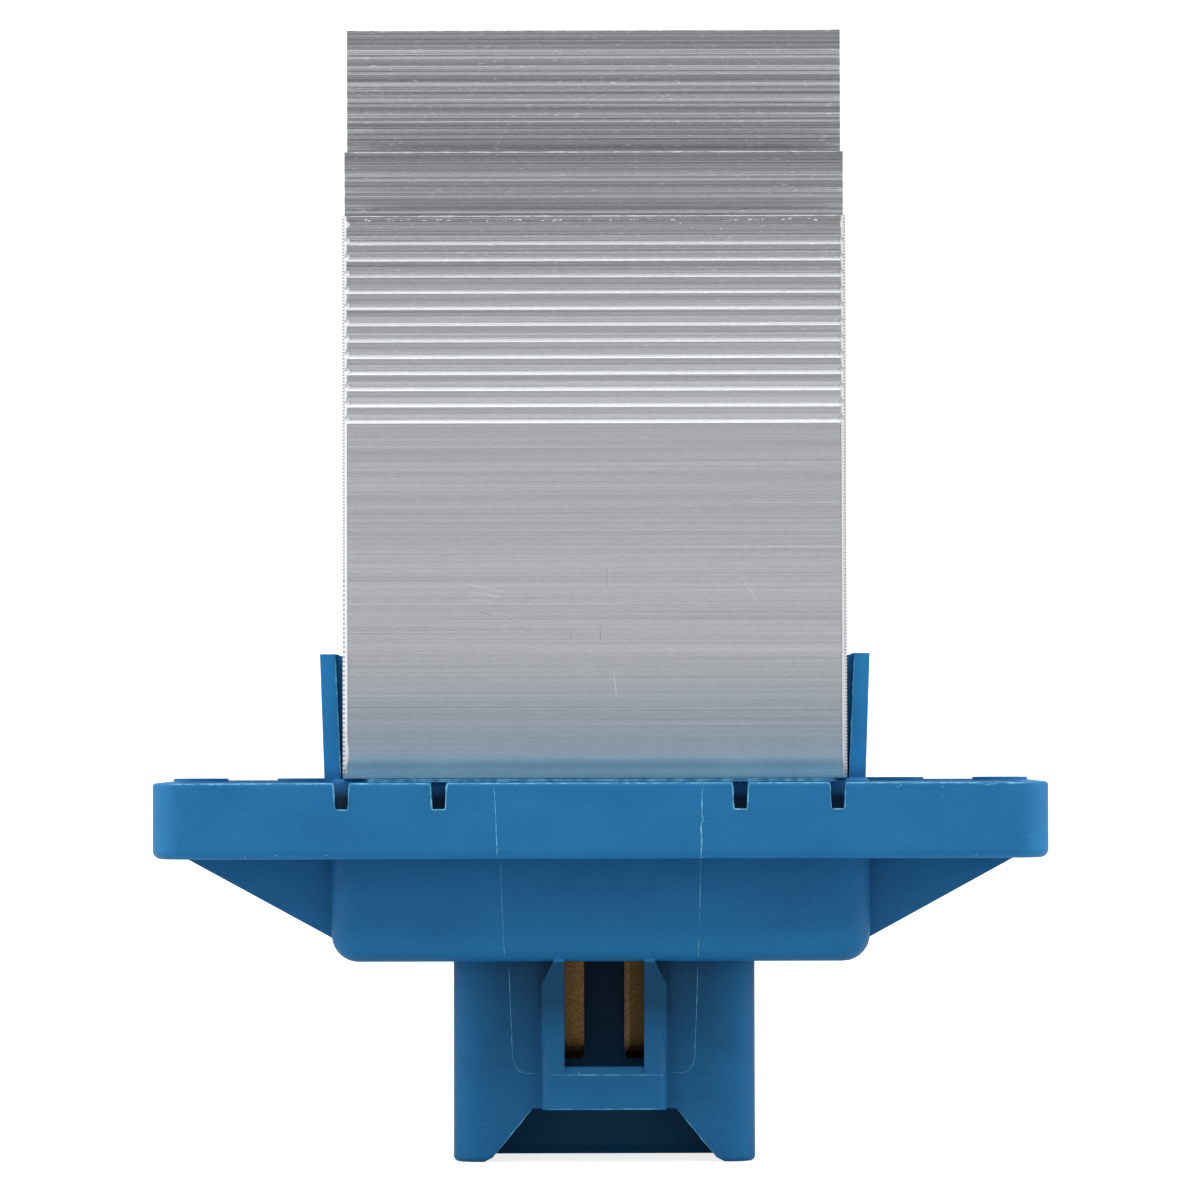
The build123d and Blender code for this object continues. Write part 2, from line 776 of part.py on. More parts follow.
def driver_chip():
    """An eight-legged chip."""
    x = sink_centre_x + chip_x
    foot = chip_leg_wall
    body = block(x - chip_length / 2, x + chip_length / 2, chip_y - chip_width / 2,
                 chip_y + chip_width / 2, board_top + foot / 2, board_top + chip_height)
    body = chamfer(body.faces().sort_by(Axis.Z)[-1].edges(), foot)
    middle_z = board_top + chip_height / 2
    for side in (-1, 1):
        for number in range(4):
            leg_x = x + (number - 1.5) * chip_leg_pitch
            root = chip_y + side * (chip_width / 2 - foot)
            knee = chip_y + side * (chip_width / 2 + foot)
            toe = chip_y + side * (chip_width / 2 + chip_leg_reach)
            outline = [(root, middle_z), (knee, middle_z), (knee, board_top + foot),
                       (toe, board_top + foot), (toe, board_top), (knee - side * foot, board_top),
                       (knee - side * foot, middle_z - foot), (root, middle_z - foot)]
            body += side_prism(outline, leg_x - chip_leg_width / 2, leg_x + chip_leg_width / 2)
    return body


def moulded_diode(size, place):
    """A block diode with its two folded end contacts."""
    length, width, height = size
    x = sink_centre_x + place[0]
    y = place[1]
    body = block(x - length / 2, x + length / 2, y - width / 2, y + width / 2,
                 board_top, board_top + height)
    body = chamfer(body.faces().sort_by(Axis.Z)[-1].edges(), height / 8)
    reach = length / 2 + diode_end_reach
    return body + block(x - reach, x + reach, y - width / 3, y + width / 3,
                        board_top, board_top + height / 3)


def end_capped_chip(size, x, y):
    """A chip component: its end caps stand a little proud of its middle."""
    length, width, height = size
    shape = block(x - length / 2, x + length / 2, y - width / 2, y + width / 2,
                  board_top, board_top + height)
    middle = block(x - length / 2 + end_cap_length, x + length / 2 - end_cap_length,
                   y - width, y + width, board_top + height - end_cap_proud,
                   board_top + height + run_out)
    return shape - middle


def chip_resistors():
    """A row of chip resistors behind the driver."""
    return [end_capped_chip(resistor_size, sink_centre_x + resistor_row_start + number * resistor_step,
                            resistor_row_y) for number in range(resistor_count)]


def chip_capacitors():
    """A short column of ceramic capacitors at the board's left edge."""
    return [end_capped_chip(ceramic_size, sink_centre_x + ceramic_row_x,
                            ceramic_row_start + number * ceramic_step)
            for number in range(ceramic_count)]


def group(solids):
    """Like pieces that share one node."""
    return Compound(children=[solid for piece in solids for solid in piece.solids()])


def save(name, shape):
    """Write one node."""
    export_step(shape, f"parts/{name}.step")
    print(name, round(shape.volume, 2), "mm3")


os.makedirs("parts", exist_ok=True)
save("housing", housing())
save("heat_sink", heat_sink())
for side, blade_x, pin_x, transistor_x in zip(("left", "right"), blade_places(), pin_places(),
                                              transistor_xs()):
    save(f"power_blade_{side}", power_blade(blade_x))
    save(f"signal_pin_{side}", signal_pin(pin_x))
    save(f"transistor_body_{side}", transistor_body(transistor_x))
    save(f"transistor_plate_{side}", transistor_plate(transistor_x))
    save(f"transistor_leads_{side}", group(transistor_leads(transistor_x)))
    save(f"thermal_pad_{side}", thermal_pad(transistor_x))
save("circuit_board", circuit_board())
save("insulating_bushes", group(insulating_bushes()))
save("transistor_screws", group(transistor_screws()))
save("heat_sink_screws", group(heat_sink_screws()))
save("filter_capacitor", filter_capacitor())
save("current_shunt", current_shunt())
save("driver_chip", driver_chip())
save("suppressor_diode", moulded_diode(suppressor_size, suppressor_place))
save("zener_diode", moulded_diode(zener_size, zener_place))
save("thermal_fuse", thermal_fuse())
save("chip_resistors", group(chip_resistors()))
save("chip_capacitors", group(chip_capacitors()))
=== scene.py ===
# %% [markdown]
# # Blower motor resistor
# A blue moulded housing grips an aluminium heat sink. The solid shapes come from the packed
# CAD model, in metres, and stay where they are. This lesson gives every surface its finish,
# adds the fine burrs, flash lines and saw marks that a mould and a saw leave, and lights it all
# like a catalogue photo.

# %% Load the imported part
import math
import random

import bmesh
import bpy
from mathutils import Matrix, Vector
from mathutils.bvhtree import BVHTree


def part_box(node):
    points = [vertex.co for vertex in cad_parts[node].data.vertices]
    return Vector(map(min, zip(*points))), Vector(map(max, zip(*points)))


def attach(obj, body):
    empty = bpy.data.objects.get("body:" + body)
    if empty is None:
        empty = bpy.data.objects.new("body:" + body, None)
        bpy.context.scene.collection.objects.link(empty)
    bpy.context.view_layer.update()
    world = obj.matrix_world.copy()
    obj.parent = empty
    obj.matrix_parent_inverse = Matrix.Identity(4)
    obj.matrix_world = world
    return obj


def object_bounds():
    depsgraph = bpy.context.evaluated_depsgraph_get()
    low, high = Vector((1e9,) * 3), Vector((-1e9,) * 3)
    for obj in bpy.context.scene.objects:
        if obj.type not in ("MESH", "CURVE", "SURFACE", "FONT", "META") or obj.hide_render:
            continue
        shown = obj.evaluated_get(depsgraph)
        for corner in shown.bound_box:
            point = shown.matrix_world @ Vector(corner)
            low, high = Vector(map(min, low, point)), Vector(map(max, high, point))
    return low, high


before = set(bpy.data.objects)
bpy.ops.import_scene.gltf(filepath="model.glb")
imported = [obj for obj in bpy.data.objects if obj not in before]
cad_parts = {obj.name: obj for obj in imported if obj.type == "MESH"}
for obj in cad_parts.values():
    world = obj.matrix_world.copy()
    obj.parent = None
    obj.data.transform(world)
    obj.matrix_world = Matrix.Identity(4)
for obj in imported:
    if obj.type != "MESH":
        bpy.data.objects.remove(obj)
cad_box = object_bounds()
MM = 0.001
print("pieces from CAD:", len(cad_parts))

# %% [markdown]
# ## Camera
# The photo is taken straight from the front with a long lens, a little above the rim, so the
# rim's top shows only as a line. The camera looks up by about a degree, which puts the eye
# level below the middle of the picture. The picture also leans by a seventh of a degree. A long
# lens far away keeps the fins nearly the same width from front to back.

# %% Put up the camera
PICTURE_SIDE = 1200
FOCAL_PIXELS = 6498
EYE_LEVEL_PIXELS = 135
CAMERA_BACK = 613.9 * MM
CAMERA_HEIGHT = 4.32 * MM
LEAN_DEGREES = -0.14
camera_data = bpy.data.cameras.new("front_camera")
camera_data.sensor_width = 36
camera_data.lens = FOCAL_PIXELS / PICTURE_SIDE * camera_data.sensor_width
camera_data.clip_start = 0.01
camera = bpy.data.objects.new("front_camera", camera_data)
bpy.context.scene.collection.objects.link(camera)
look_up = math.atan(EYE_LEVEL_PIXELS / FOCAL_PIXELS)
lean = math.radians(LEAN_DEGREES)
camera.matrix_world = (Matrix.Translation((0, -CAMERA_BACK, CAMERA_HEIGHT))
                       @ Matrix.Rotation(math.pi / 2 + look_up, 4, "X")
                       @ Matrix.Rotation(lean, 4, "Z"))
bpy.context.scene.camera = camera
print("lens", round(camera_data.lens, 1), "mm, looking up", round(math.degrees(look_up), 2), "degrees")

# %% [markdown]
# ## Working with nodes
# A finish is a small network of nodes. These helpers each add one kind of node, so that a
# finish further down reads like a recipe. All patterns are placed by the part's own
# coordinates, so they stay on it from every side.

# %% Node helpers
def new_finish(name, colour, roughness, metallic=0.0):
    """A finish with one Principled shader; its plain numbers go on the shader itself."""
    finish = bpy.data.materials.new(name)
    finish.use_nodes = True
    shader = finish.node_tree.nodes["Principled BSDF"]
    shader.inputs["Base Color"].default_value = (*colour, 1)
    shader.inputs["Roughness"].default_value = roughness
    shader.inputs["Metallic"].default_value = metallic
    return finish, finish.node_tree, shader


def add_node(tree, kind, settings=(), **inputs):
    """One node: its settings, then its inputs, as values or as links."""
    node = tree.nodes.new(kind)
    for setting, value in dict(settings).items():
        setattr(node, setting, value)
    for name, value in inputs.items():
        feed(tree, node.inputs[name.replace("_", " ")], value)
    return node


def feed(tree, socket, value):
    """Set a socket, or link it when the value is another node's output."""
    if isinstance(value, bpy.types.NodeSocket):
        tree.links.new(value, socket)
    else:
        socket.default_value = value


def math_node(tree, operation, *values):
    """Arithmetic on one, two or three values."""
    node = add_node(tree, "ShaderNodeMath", {"operation": operation})
    for socket, value in zip(node.inputs, values):
        feed(tree, socket, value)
    return node.outputs[0]


def place(tree, stretch):
    """The part's own coordinates, stretched along each axis (a frequency per metre)."""
    here = add_node(tree, "ShaderNodeTexCoord").outputs["Object"]
    return add_node(tree, "ShaderNodeMapping", Vector=here, Scale=stretch).outputs["Vector"]


def noise(tree, stretch, detail=3.0):
    """Smooth random cloud, 0 to 1."""
    return add_node(tree, "ShaderNodeTexNoise", Vector=place(tree, stretch), Scale=1.0,
                    Detail=detail).outputs[0]


def spread(tree, value, low, high, from_low=0.3, from_high=0.7):
    """Turn a cloud into a range of plain numbers."""
    node = add_node(tree, "ShaderNodeMapRange", Value=value)
    node.inputs["From Min"].default_value = from_low
    node.inputs["From Max"].default_value = from_high
    node.inputs["To Min"].default_value = low
    node.inputs["To Max"].default_value = high
    return node.outputs[0]


def blend_colours(tree, amount, first, second):
    """Mix two colours, each a colour or another node's output."""
    node = add_node(tree, "ShaderNodeMix", {"data_type": "RGBA"})
    feed(tree, node.inputs["Factor"], amount)
    for socket, colour in zip([s for s in node.inputs if s.type == "RGBA"], (first, second)):
        feed(tree, socket, colour if isinstance(colour, bpy.types.NodeSocket) else (*colour, 1))
    return [s for s in node.outputs if s.type == "RGBA"][0]


def tinted(tree, colour, amount):
    """A colour multiplied by a plain number."""
    node = add_node(tree, "ShaderNodeMix", {"data_type": "RGBA", "blend_type": "MULTIPLY"}, Factor=1.0)
    for socket, value in zip([s for s in node.inputs if s.type == "RGBA"], (colour, amount)):
        feed(tree, socket, value)
    return [s for s in node.outputs if s.type == "RGBA"][0]


def axes(tree, vector):
    """The three numbers of a vector, as outputs."""
    node = add_node(tree, "ShaderNodeSeparateXYZ", Vector=vector)
    return node.outputs["X"], node.outputs["Y"], node.outputs["Z"]


def bump(tree, height, depth, under=None):
    """Relief of a real depth in metres."""
    node = add_node(tree, "ShaderNodeBump", Height=height, Strength=1.0, Distance=depth)
    if under is not None:
        tree.links.new(under, node.inputs["Normal"])
    return node.outputs["Normal"]


# %% [markdown]
# ## Floor and backdrop
# The photo has a plain white ground. A white sheet that curves up behind the part gives that
# without a line at the back. It glows for the camera and in reflections, not for the part's own
# shading, so it stays white while the lamps stay low. Close to the part the glow steps back a
# little, so that the soft shadow still shows on the floor.

# %% Sweep of white paper
FLOOR_Z = cad_box[0].z
paper, tree, shader = new_finish("white_paper", (0.5, 0.5, 0.5), 0.7)
shader.inputs["Specular IOR Level"].default_value = 0.1
rays = add_node(tree, "ShaderNodeLightPath")
seen = math_node(tree, "MAXIMUM", rays.outputs["Is Camera Ray"], rays.outputs["Is Transmission Ray"])
seen = math_node(tree, "MAXIMUM", seen, math_node(tree, "MULTIPLY", rays.outputs["Is Glossy Ray"], 0.3))
distance = add_node(tree, "ShaderNodeVectorMath", {"operation": "LENGTH"})
tree.links.new(place(tree, (1, 1, 0)), distance.inputs[0])
glow = spread(tree, distance.outputs["Value"], 0.80, 1.0, 0.05, 0.20)
light = add_node(tree, "ShaderNodeEmission", Strength=math_node(tree, "MULTIPLY", seen, glow))
both = add_node(tree, "ShaderNodeAddShader")
tree.links.new(shader.outputs[0], both.inputs[0])
tree.links.new(light.outputs[0], both.inputs[1])
below = add_node(tree, "ShaderNodeMixShader")
tree.links.new(add_node(tree, "ShaderNodeNewGeometry").outputs["Backfacing"], below.inputs[0])
tree.links.new(both.outputs[0], below.inputs[1])
tree.links.new(add_node(tree, "ShaderNodeBsdfTransparent").outputs[0], below.inputs[2])
tree.links.new(below.outputs[0], tree.nodes["Material Output"].inputs["Surface"])

profile = [(-2.0, 0.0), (1.0, 0.0)]
profile += [(1.0 + 0.5 * math.sin(a), 0.5 - 0.5 * math.cos(a))
            for a in (math.radians(step * 7.5) for step in range(1, 13))]
profile.append((1.5, 2.6))
sweep = bpy.data.meshes.new("paper_sweep")
sweep.from_pydata([(x, y, FLOOR_Z + z) for y, z in profile for x in (-2.5, 2.5)], [],
                  [(2 * i, 2 * i + 1, 2 * i + 3, 2 * i + 2) for i in range(len(profile) - 1)])
sweep.materials.append(paper)
paper_sweep = bpy.data.objects.new("paper_sweep", sweep)
bpy.context.scene.collection.objects.link(paper_sweep)
print("floor at", round(FLOOR_Z / MM, 2), "mm, normal", tuple(sweep.polygons[0].normal))

# %% [markdown]
# ## Light
# The part stands in a light tent. Even light from the whole tent shades the plastic: what lies
# under the flange sees less of the tent, so it is darker without any lamp's help. A lamp high
# above adds the light tops. Metal shows what it mirrors, so in reflections the tent is dimmer in
# front, which gives the mid grey of the fins, and white at the sides, where the broken corners
# and the round ends look. World light that depends on the kind of ray is left to the rays
# themselves, so its sampling is off.

# %% Tent and soft boxes
SHADING_GLOW = 0.80
FRONT_GLOW = 0.38
SIDE_GLOW = 0.85
AIMED_AT = Vector((0, 0, 0.02))
world = bpy.data.worlds.new("tent")
bpy.context.scene.world = world
world.use_nodes = True
world.cycles.sampling_method = "NONE"
tree = world.node_tree
rays = add_node(tree, "ShaderNodeLightPath").outputs
clear = math_node(tree, "MAXIMUM", rays["Is Camera Ray"], rays["Is Transmission Ray"])
direction = add_node(tree, "ShaderNodeTexCoord").outputs["Generated"]
sideways = math_node(tree, "ABSOLUTE", axes(tree, direction)[0])
mirrored = spread(tree, sideways, FRONT_GLOW, SIDE_GLOW, 0.55, 0.9)
more_for_shading = math_node(tree, "SUBTRACT", SHADING_GLOW, mirrored)
shading = math_node(tree, "MULTIPLY", rays["Is Diffuse Ray"], more_for_shading)
tent_glow = math_node(tree, "MAXIMUM", math_node(tree, "ADD", mirrored, shading), clear)
tree.links.new(tent_glow, tree.nodes["Background"].inputs["Strength"])
tree.nodes["Background"].inputs["Color"].default_value = (1, 1, 1, 1)


def soft_box(name, spot, size, power):
    """A rectangular lamp that faces the part."""
    lamp = bpy.data.lights.new(name, "AREA")
    lamp.shape = "RECTANGLE"
    lamp.size, lamp.size_y = size
    lamp.energy = power
    holder = bpy.data.objects.new(name, lamp)
    holder.location = spot
    holder.rotation_euler = (AIMED_AT - Vector(spot)).to_track_quat("-Z", "Y").to_euler()
    holder.visible_camera = False
    bpy.context.scene.collection.objects.link(holder)
    print(name, "at", spot, power, "W")


soft_box("box_above", (0.0, -0.26, 0.74), (0.9, 0.5), 3.6)
soft_box("box_left", (-0.7, -0.10, 0.15), (0.5, 0.8), 1.4)
soft_box("box_right", (0.7, -0.10, 0.15), (0.5, 0.8), 1.4)
soft_box("box_behind", (0.0, 0.55, 0.55), (0.8, 0.4), 1.0)
bpy.context.scene.view_settings.view_transform = "Standard"

# %% [markdown]
# ## Masks
# A finish often changes with the place, such as inside a hole or along an edge. A mask is a
# number that is 1 where the change holds and 0 elsewhere. The product of some masks is 1 only
# where all of them are, so a box in space is the product of a few bands.

# %% Helpers for masks
HAIR = 0.1 * MM


def band(tree, value, edge):
    """1 where a value is above an edge, 0 below it, with a soft change."""
    return spread(tree, value, 0.0, 1.0, edge - HAIR, edge + HAIR)


def without(tree, mask):
    """The same mask turned round."""
    return math_node(tree, "SUBTRACT", 1.0, mask)


def product(tree, *values):
    """All the values multiplied."""
    result = values[0]
    for value in values[1:]:
        result = math_node(tree, "MULTIPLY", result, value)
    return result


def unsigned(tree, value):
    """A number without its sign, for what is alike on both sides."""
    return math_node(tree, "ABSOLUTE", value)


# %% [markdown]
# ## Where shade is painted into the plastic
# The tone changes with the place. Painted shade darkens the socket, most near the tub above
# it and least at its sides, more inside it and at its front ribs' roots, and on the tray's walls
# behind the slots. Each of these is a mask that says how much of the colour is lost.

# %% Painted shade
RIM_INSIDE = 17.95 * MM
TRAY_END = 26 * MM
TRAY_FLOOR = -4.7 * MM
TRAY_PAINTED_SHADE = 0.90
SOCKET_ROOT = -16.7 * MM
SOCKET_MIDDLE = 0.3 * MM
SOCKET_INSIDE = 5.3 * MM
SOCKET_END = 13.0 * MM
RIBS_END = 6.2 * MM


def tray_painted_shade(tree, x, y, z):
    """Painted shade on the walls in the tray; its floor, which the slots do not show, is left out."""
    return product(tree, without(tree, band(tree, unsigned(tree, y), RIM_INSIDE)),
                   without(tree, band(tree, unsigned(tree, x), TRAY_END)),
                   band(tree, z, TRAY_FLOOR), spread(tree, z, TRAY_PAINTED_SHADE, 0.0, -1.5 * MM, 0.0))


def socket_painted_shade(tree, x, y, z):
    """Painted shade on the socket's outside, the roots of its front ribs, and its inside."""
    off_middle = unsigned(tree, math_node(tree, "SUBTRACT", x, SOCKET_MIDDLE))
    on_socket = without(tree, band(tree, z, SOCKET_ROOT))
    on_ribs = product(tree, on_socket, without(tree, band(tree, off_middle, RIBS_END)),
                      without(tree, band(tree, y, 0.0)))
    # Painted shade: darker towards the tub above, less towards the socket's sides and on the ribs.
    outside = product(tree, on_socket, spread(tree, z, 0.18, 0.47, -30 * MM, -20 * MM),
                      spread(tree, off_middle, 1.0, 0.15, 9.8 * MM, 13.2 * MM),
                      without(tree, product(tree, on_ribs, 0.2)))
    rib_roots = product(tree, on_ribs, spread(tree, z, 0.0, 0.36, -23.5 * MM, -20.5 * MM))
    inside = product(tree, on_socket, without(tree, band(tree, unsigned(tree, y), SOCKET_INSIDE)),
                     without(tree, band(tree, off_middle, SOCKET_END)),
                     spread(tree, z, 0.1, 0.6, -30 * MM, -27 * MM))
    return outside, rib_roots, inside


# %% [markdown]
# ## Where light is painted into the plastic
# Painted highlights lighten the flange's lower edge and its rounded ends, and painted light the
# lower tub and the arms. These masks say how much is added. The tone starts at 1, loses the
# painted shade and gains the painted light.

# %% Painted light and the whole tone
FLANGE_FRONT = 19 * MM
FLANGE_BOTTOM = -7.3 * MM
ENDS_FROM, ENDS_TO = 38.6 * MM, 40.6 * MM


def painted_light(tree, x, y, z):
    """Painted light on the flange's lower edge and its ends, the foot of the tub, and the arms."""
    on_flange = band(tree, z, FLANGE_BOTTOM)
    lower_edge = product(tree, band(tree, unsigned(tree, y), FLANGE_FRONT),
                         spread(tree, z, 0.35, 0.0, -6.9 * MM, -6.3 * MM), on_flange)
    ends = product(tree, spread(tree, unsigned(tree, x), 0.0, 0.32, ENDS_FROM, ENDS_TO), on_flange)
    tub_foot = product(tree, band(tree, z, SOCKET_ROOT),
                       spread(tree, z, 0.16, 0.0, -15.6 * MM, -13.2 * MM))
    arms = spread(tree, z, 0.0, 0.55, 0.35 * MM, 1.5 * MM)
    return lower_edge, ends, tub_foot, arms


def painted_plastic_tone(tree):
    """How far painted shade and painted light change the colour at each place; 1 on the main faces."""
    x, y, z = axes(tree, place(tree, (1, 1, 1)))
    tone = without(tree, tray_painted_shade(tree, x, y, z))
    for loss in socket_painted_shade(tree, x, y, z):
        tone = math_node(tree, "MULTIPLY", tone, without(tree, loss))
    for gain in painted_light(tree, x, y, z):
        tone = math_node(tree, "MULTIPLY_ADD", tone, gain, tone)
    return tone


# %% [markdown]
# ## Blue plastic
# The housing is glass-filled plastic: an even, slightly satin blue with a fine grain and faint
# clouds where the melt flowed. Real moulded edges are never knife sharp, so the Bevel node
# rounds every edge in the light by a fifth of a millimetre. The shine is one number for the
# whole piece, so it is set on the shader itself.

# %% Housing finish
EDGE_RADIUS = 0.2 * MM
SATIN_SHINE = 0.16


def plastic(name, deep, light, roughness):
    """Moulded plastic: flow clouds, grain and rounded edges."""
    finish, tree, shader = new_finish(name, light, roughness)
    cloud = noise(tree, (140, 140, 260), 4)
    grain = noise(tree, (5200, 5200, 5200), 2)
    mottle = math_node(tree, "ADD", math_node(tree, "MULTIPLY", cloud, 0.5),
                       math_node(tree, "MULTIPLY", grain, 0.5))
    colour = blend_colours(tree, spread(tree, mottle, 0.0, 1.0, 0.32, 0.68), deep, light)
    # The colour is multiplied by the painted shade and painted light of each place.
    tree.links.new(tinted(tree, colour, painted_plastic_tone(tree)), shader.inputs["Base Color"])
    shader.inputs["Specular IOR Level"].default_value = SATIN_SHINE
    tree.links.new(spread(tree, cloud, roughness - 0.05, roughness + 0.07), shader.inputs["Roughness"])
    rounded = add_node(tree, "ShaderNodeBevel", {"samples": 6}, Radius=EDGE_RADIUS).outputs["Normal"]
    tree.links.new(bump(tree, grain, 0.012 * MM, rounded), shader.inputs["Normal"])
    return finish


def torn_plastic(name, blue, pale):
    """Flash and burrs: plastic gone pale where it tore, in patches under a millimetre; on edges the pale is
    also a painted highlight.
    """
    finish, tree, shader = new_finish(name, pale, 0.55)
    patches = noise(tree, (1300, 1300, 1300), 3)
    tree.links.new(blend_colours(tree, spread(tree, patches, 0.0, 1.0, 0.38, 0.62), blue, pale),
                   shader.inputs["Base Color"])
    tree.links.new(spread(tree, patches, 0.5, 0.62), shader.inputs["Roughness"])
    tree.links.new(bump(tree, patches, 0.01 * MM), shader.inputs["Normal"])
    return finish


blue_plastic = plastic("blue_plastic", (0.012, 0.145, 0.353), (0.018, 0.196, 0.442), 0.46)
# The pale burr's colour is also a painted highlight along the edges it sits on.
pale_burr_and_highlight = torn_plastic("pale_burr_and_highlight", (0.03, 0.26, 0.48), (0.16, 0.54, 0.76))
thin_flash = torn_plastic("thin_flash", (0.02, 0.19, 0.40), (0.10, 0.38, 0.58))

# %% [markdown]
# ## Torn corners of the heat sink
# The saw that cut the extrusion to length tore its outer corners, and their white is also a painted
# highlight of the broken corner. Beside each groove the tear reaches further in, so the corner looks
# scalloped, more on the left than on the right. A thin line of painted shade runs along the tear.
# The reach follows a cosine with the grooves' own pitch.

# %% Where the corner is torn and painted light
SINK_LOW, SINK_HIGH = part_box("heat_sink")
SINK_MIDDLE = (SINK_LOW.x + SINK_HIGH.x) / 2
SINK_HALF = (SINK_HIGH.x - SINK_LOW.x) / 2
OUTER_FACE = SINK_HIGH.y - 0.5 * MM
LOWEST_GROOVE = 33.3 * MM
GROOVE_AT = 50.06 * MM
GROOVE_PITCH = 1.5 * MM
PLAIN_REACH = 0.45 * MM


def torn_and_lit_corner(tree, x, y, z):
    """The torn strip with its painted highlight, the strip with a painted shade line beside it, and the
    distance from the end.
    """
    aside = unsigned(tree, math_node(tree, "SUBTRACT", x, SINK_MIDDLE))
    from_end = math_node(tree, "SUBTRACT", SINK_HALF, aside)
    turns = math_node(tree, "DIVIDE", math_node(tree, "SUBTRACT", z, GROOVE_AT), GROOVE_PITCH)
    wave = math_node(tree, "COSINE", math_node(tree, "MULTIPLY", turns, 2 * math.pi))
    left_reach = spread(tree, wave, 0.34 * MM, 0.76 * MM, 0.0, 0.9)
    right_reach = spread(tree, wave, 0.38 * MM, 0.56 * MM, 0.0, 0.9)
    reach = math_node(tree, "MULTIPLY_ADD", math_node(tree, "SUBTRACT", right_reach, left_reach),
                      band(tree, x, 0.0), left_reach)
    below_grooves = without(tree, band(tree, z, LOWEST_GROOVE))
    reach = math_node(tree, "MULTIPLY_ADD", math_node(tree, "SUBTRACT", PLAIN_REACH, reach),
                      below_grooves, reach)
    past = math_node(tree, "SUBTRACT", from_end, reach)
    outer = band(tree, unsigned(tree, y), OUTER_FACE)
    torn = math_node(tree, "MULTIPLY", spread(tree, past, 1.0, 0.0, -0.03 * MM, 0.03 * MM), outer)
    beside = math_node(tree, "MULTIPLY", spread(tree, past, 1.0, 0.0, 0.04 * MM, 0.12 * MM), outer)
    return torn, beside, from_end


# %% [markdown]
# ## Steps of the saw
# Each tooth left a fine step on the ends and along the outer half of the torn corners. They are
# coarser at the lower left, where the saw was fed faster. A sine makes them, and a cloud lets
# them wander a little. Besides their relief, the steps' ridges are painted light and their
# hollows painted shade.

# %% Saw steps
SAW_PITCH_COARSE = 0.437 * MM
SAW_PITCH_FINE = 0.30 * MM
COARSE_TO = 18.7 * MM


def saw_steps(tree, x, z, from_end):
    """1 on the ridge of a step and along the white inner half of the corner."""
    left_pitch = spread(tree, z, SAW_PITCH_COARSE, SAW_PITCH_FINE, COARSE_TO, COARSE_TO + HAIR)
    pitch = math_node(tree, "MULTIPLY_ADD", math_node(tree, "SUBTRACT", SAW_PITCH_FINE, left_pitch),
                      band(tree, x, 0.0), left_pitch)
    wander = math_node(tree, "MULTIPLY_ADD", noise(tree, (900, 900, 900), 2), 0.2 * MM, z)
    turns = math_node(tree, "DIVIDE", wander, pitch)
    step = math_node(tree, "SINE", math_node(tree, "MULTIPLY", turns, 2 * math.pi))
    return math_node(tree, "MAXIMUM", spread(tree, step, 0.0, 1.0, -0.9, 0.5),
                     spread(tree, from_end, 0.0, 1.0, 0.16 * MM, 0.28 * MM))


# %% [markdown]
# ## Worn grooves
# The grooves are worn round, so their sides are lit as if they were flatter than they are,
# mostly the sides that look down. The true facing tells the sides apart. Its upward part is
# made smaller, and the result goes into the relief of the metal.

# %% Sides of the grooves
def worn_grooves(tree):
    """Masks of the grooves and of their two sides, and the facing with the wear in it."""
    true_facing = add_node(tree, "ShaderNodeNewGeometry").outputs["Normal"]
    facing_up = axes(tree, true_facing)[2]
    tilt = unsigned(tree, facing_up)
    in_groove = math_node(tree, "MULTIPLY", spread(tree, tilt, 0.0, 1.0, 0.3, 0.45),
                          spread(tree, tilt, 1.0, 0.0, 0.8, 0.95))
    looks_up = math_node(tree, "MULTIPLY", in_groove, spread(tree, facing_up, 0.0, 1.0, 0.2, 0.4))
    looks_down = math_node(tree, "SUBTRACT", in_groove, looks_up)
    flatter = math_node(tree, "ADD", math_node(tree, "MULTIPLY", looks_up, 0.15),
                        math_node(tree, "MULTIPLY", looks_down, 0.80))
    squash = add_node(tree, "ShaderNodeCombineXYZ", X=1.0, Y=1.0, Z=without(tree, flatter))
    worn = add_node(tree, "ShaderNodeVectorMath", {"operation": "MULTIPLY"})
    tree.links.new(true_facing, worn.inputs[0])
    tree.links.new(squash.outputs["Vector"], worn.inputs[1])
    worn_facing = add_node(tree, "ShaderNodeVectorMath", {"operation": "NORMALIZE"})
    tree.links.new(worn.outputs["Vector"], worn_facing.inputs[0])
    return in_groove, looks_up, looks_down, worn_facing.outputs["Vector"]


# %% [markdown]
# ## Colour and tone of the metal
# An extrusion comes out of its die with fine lines along its whole length, here from side to
# side. The grooved upper part is the more scratched, with short bright nicks. Painted shade darkens
# the groove sides that look up on the inner fins, and a painted highlight lightens the sides that
# look down. Near the foot a painted reflection of the blue housing tints the metal.

# %% Die lines, scratches, nicks, painted groove shade and the painted blue reflection
GROOVED_FROM = 34 * MM
GROOVED_TO = 58 * MM
NEAR_FIN = 10 * MM


def painted_blue_reflection(tree, colour, z):
    """The colour with a painted reflection of the blue housing: strongest a few millimetres up, then
    lighter below.
    """
    reflected_blue = math_node(tree, "MULTIPLY", spread(tree, z, 1.0, 0.0, 3.4 * MM, 12 * MM),
                      spread(tree, z, 0.0, 1.0, 1.0 * MM, 3.4 * MM))
    colour = tinted(tree, colour, blend_colours(tree, reflected_blue, (1.0, 1.0, 1.0), (0.54, 0.64, 0.72)))
    # Below it the painted reflection turns a bluer tint.
    at_foot = spread(tree, z, 1.0, 0.0, 1.4 * MM, 3.4 * MM)
    return tinted(tree, colour, blend_colours(tree, at_foot, (1.0, 1.0, 1.0), (0.58, 0.96, 1.14)))


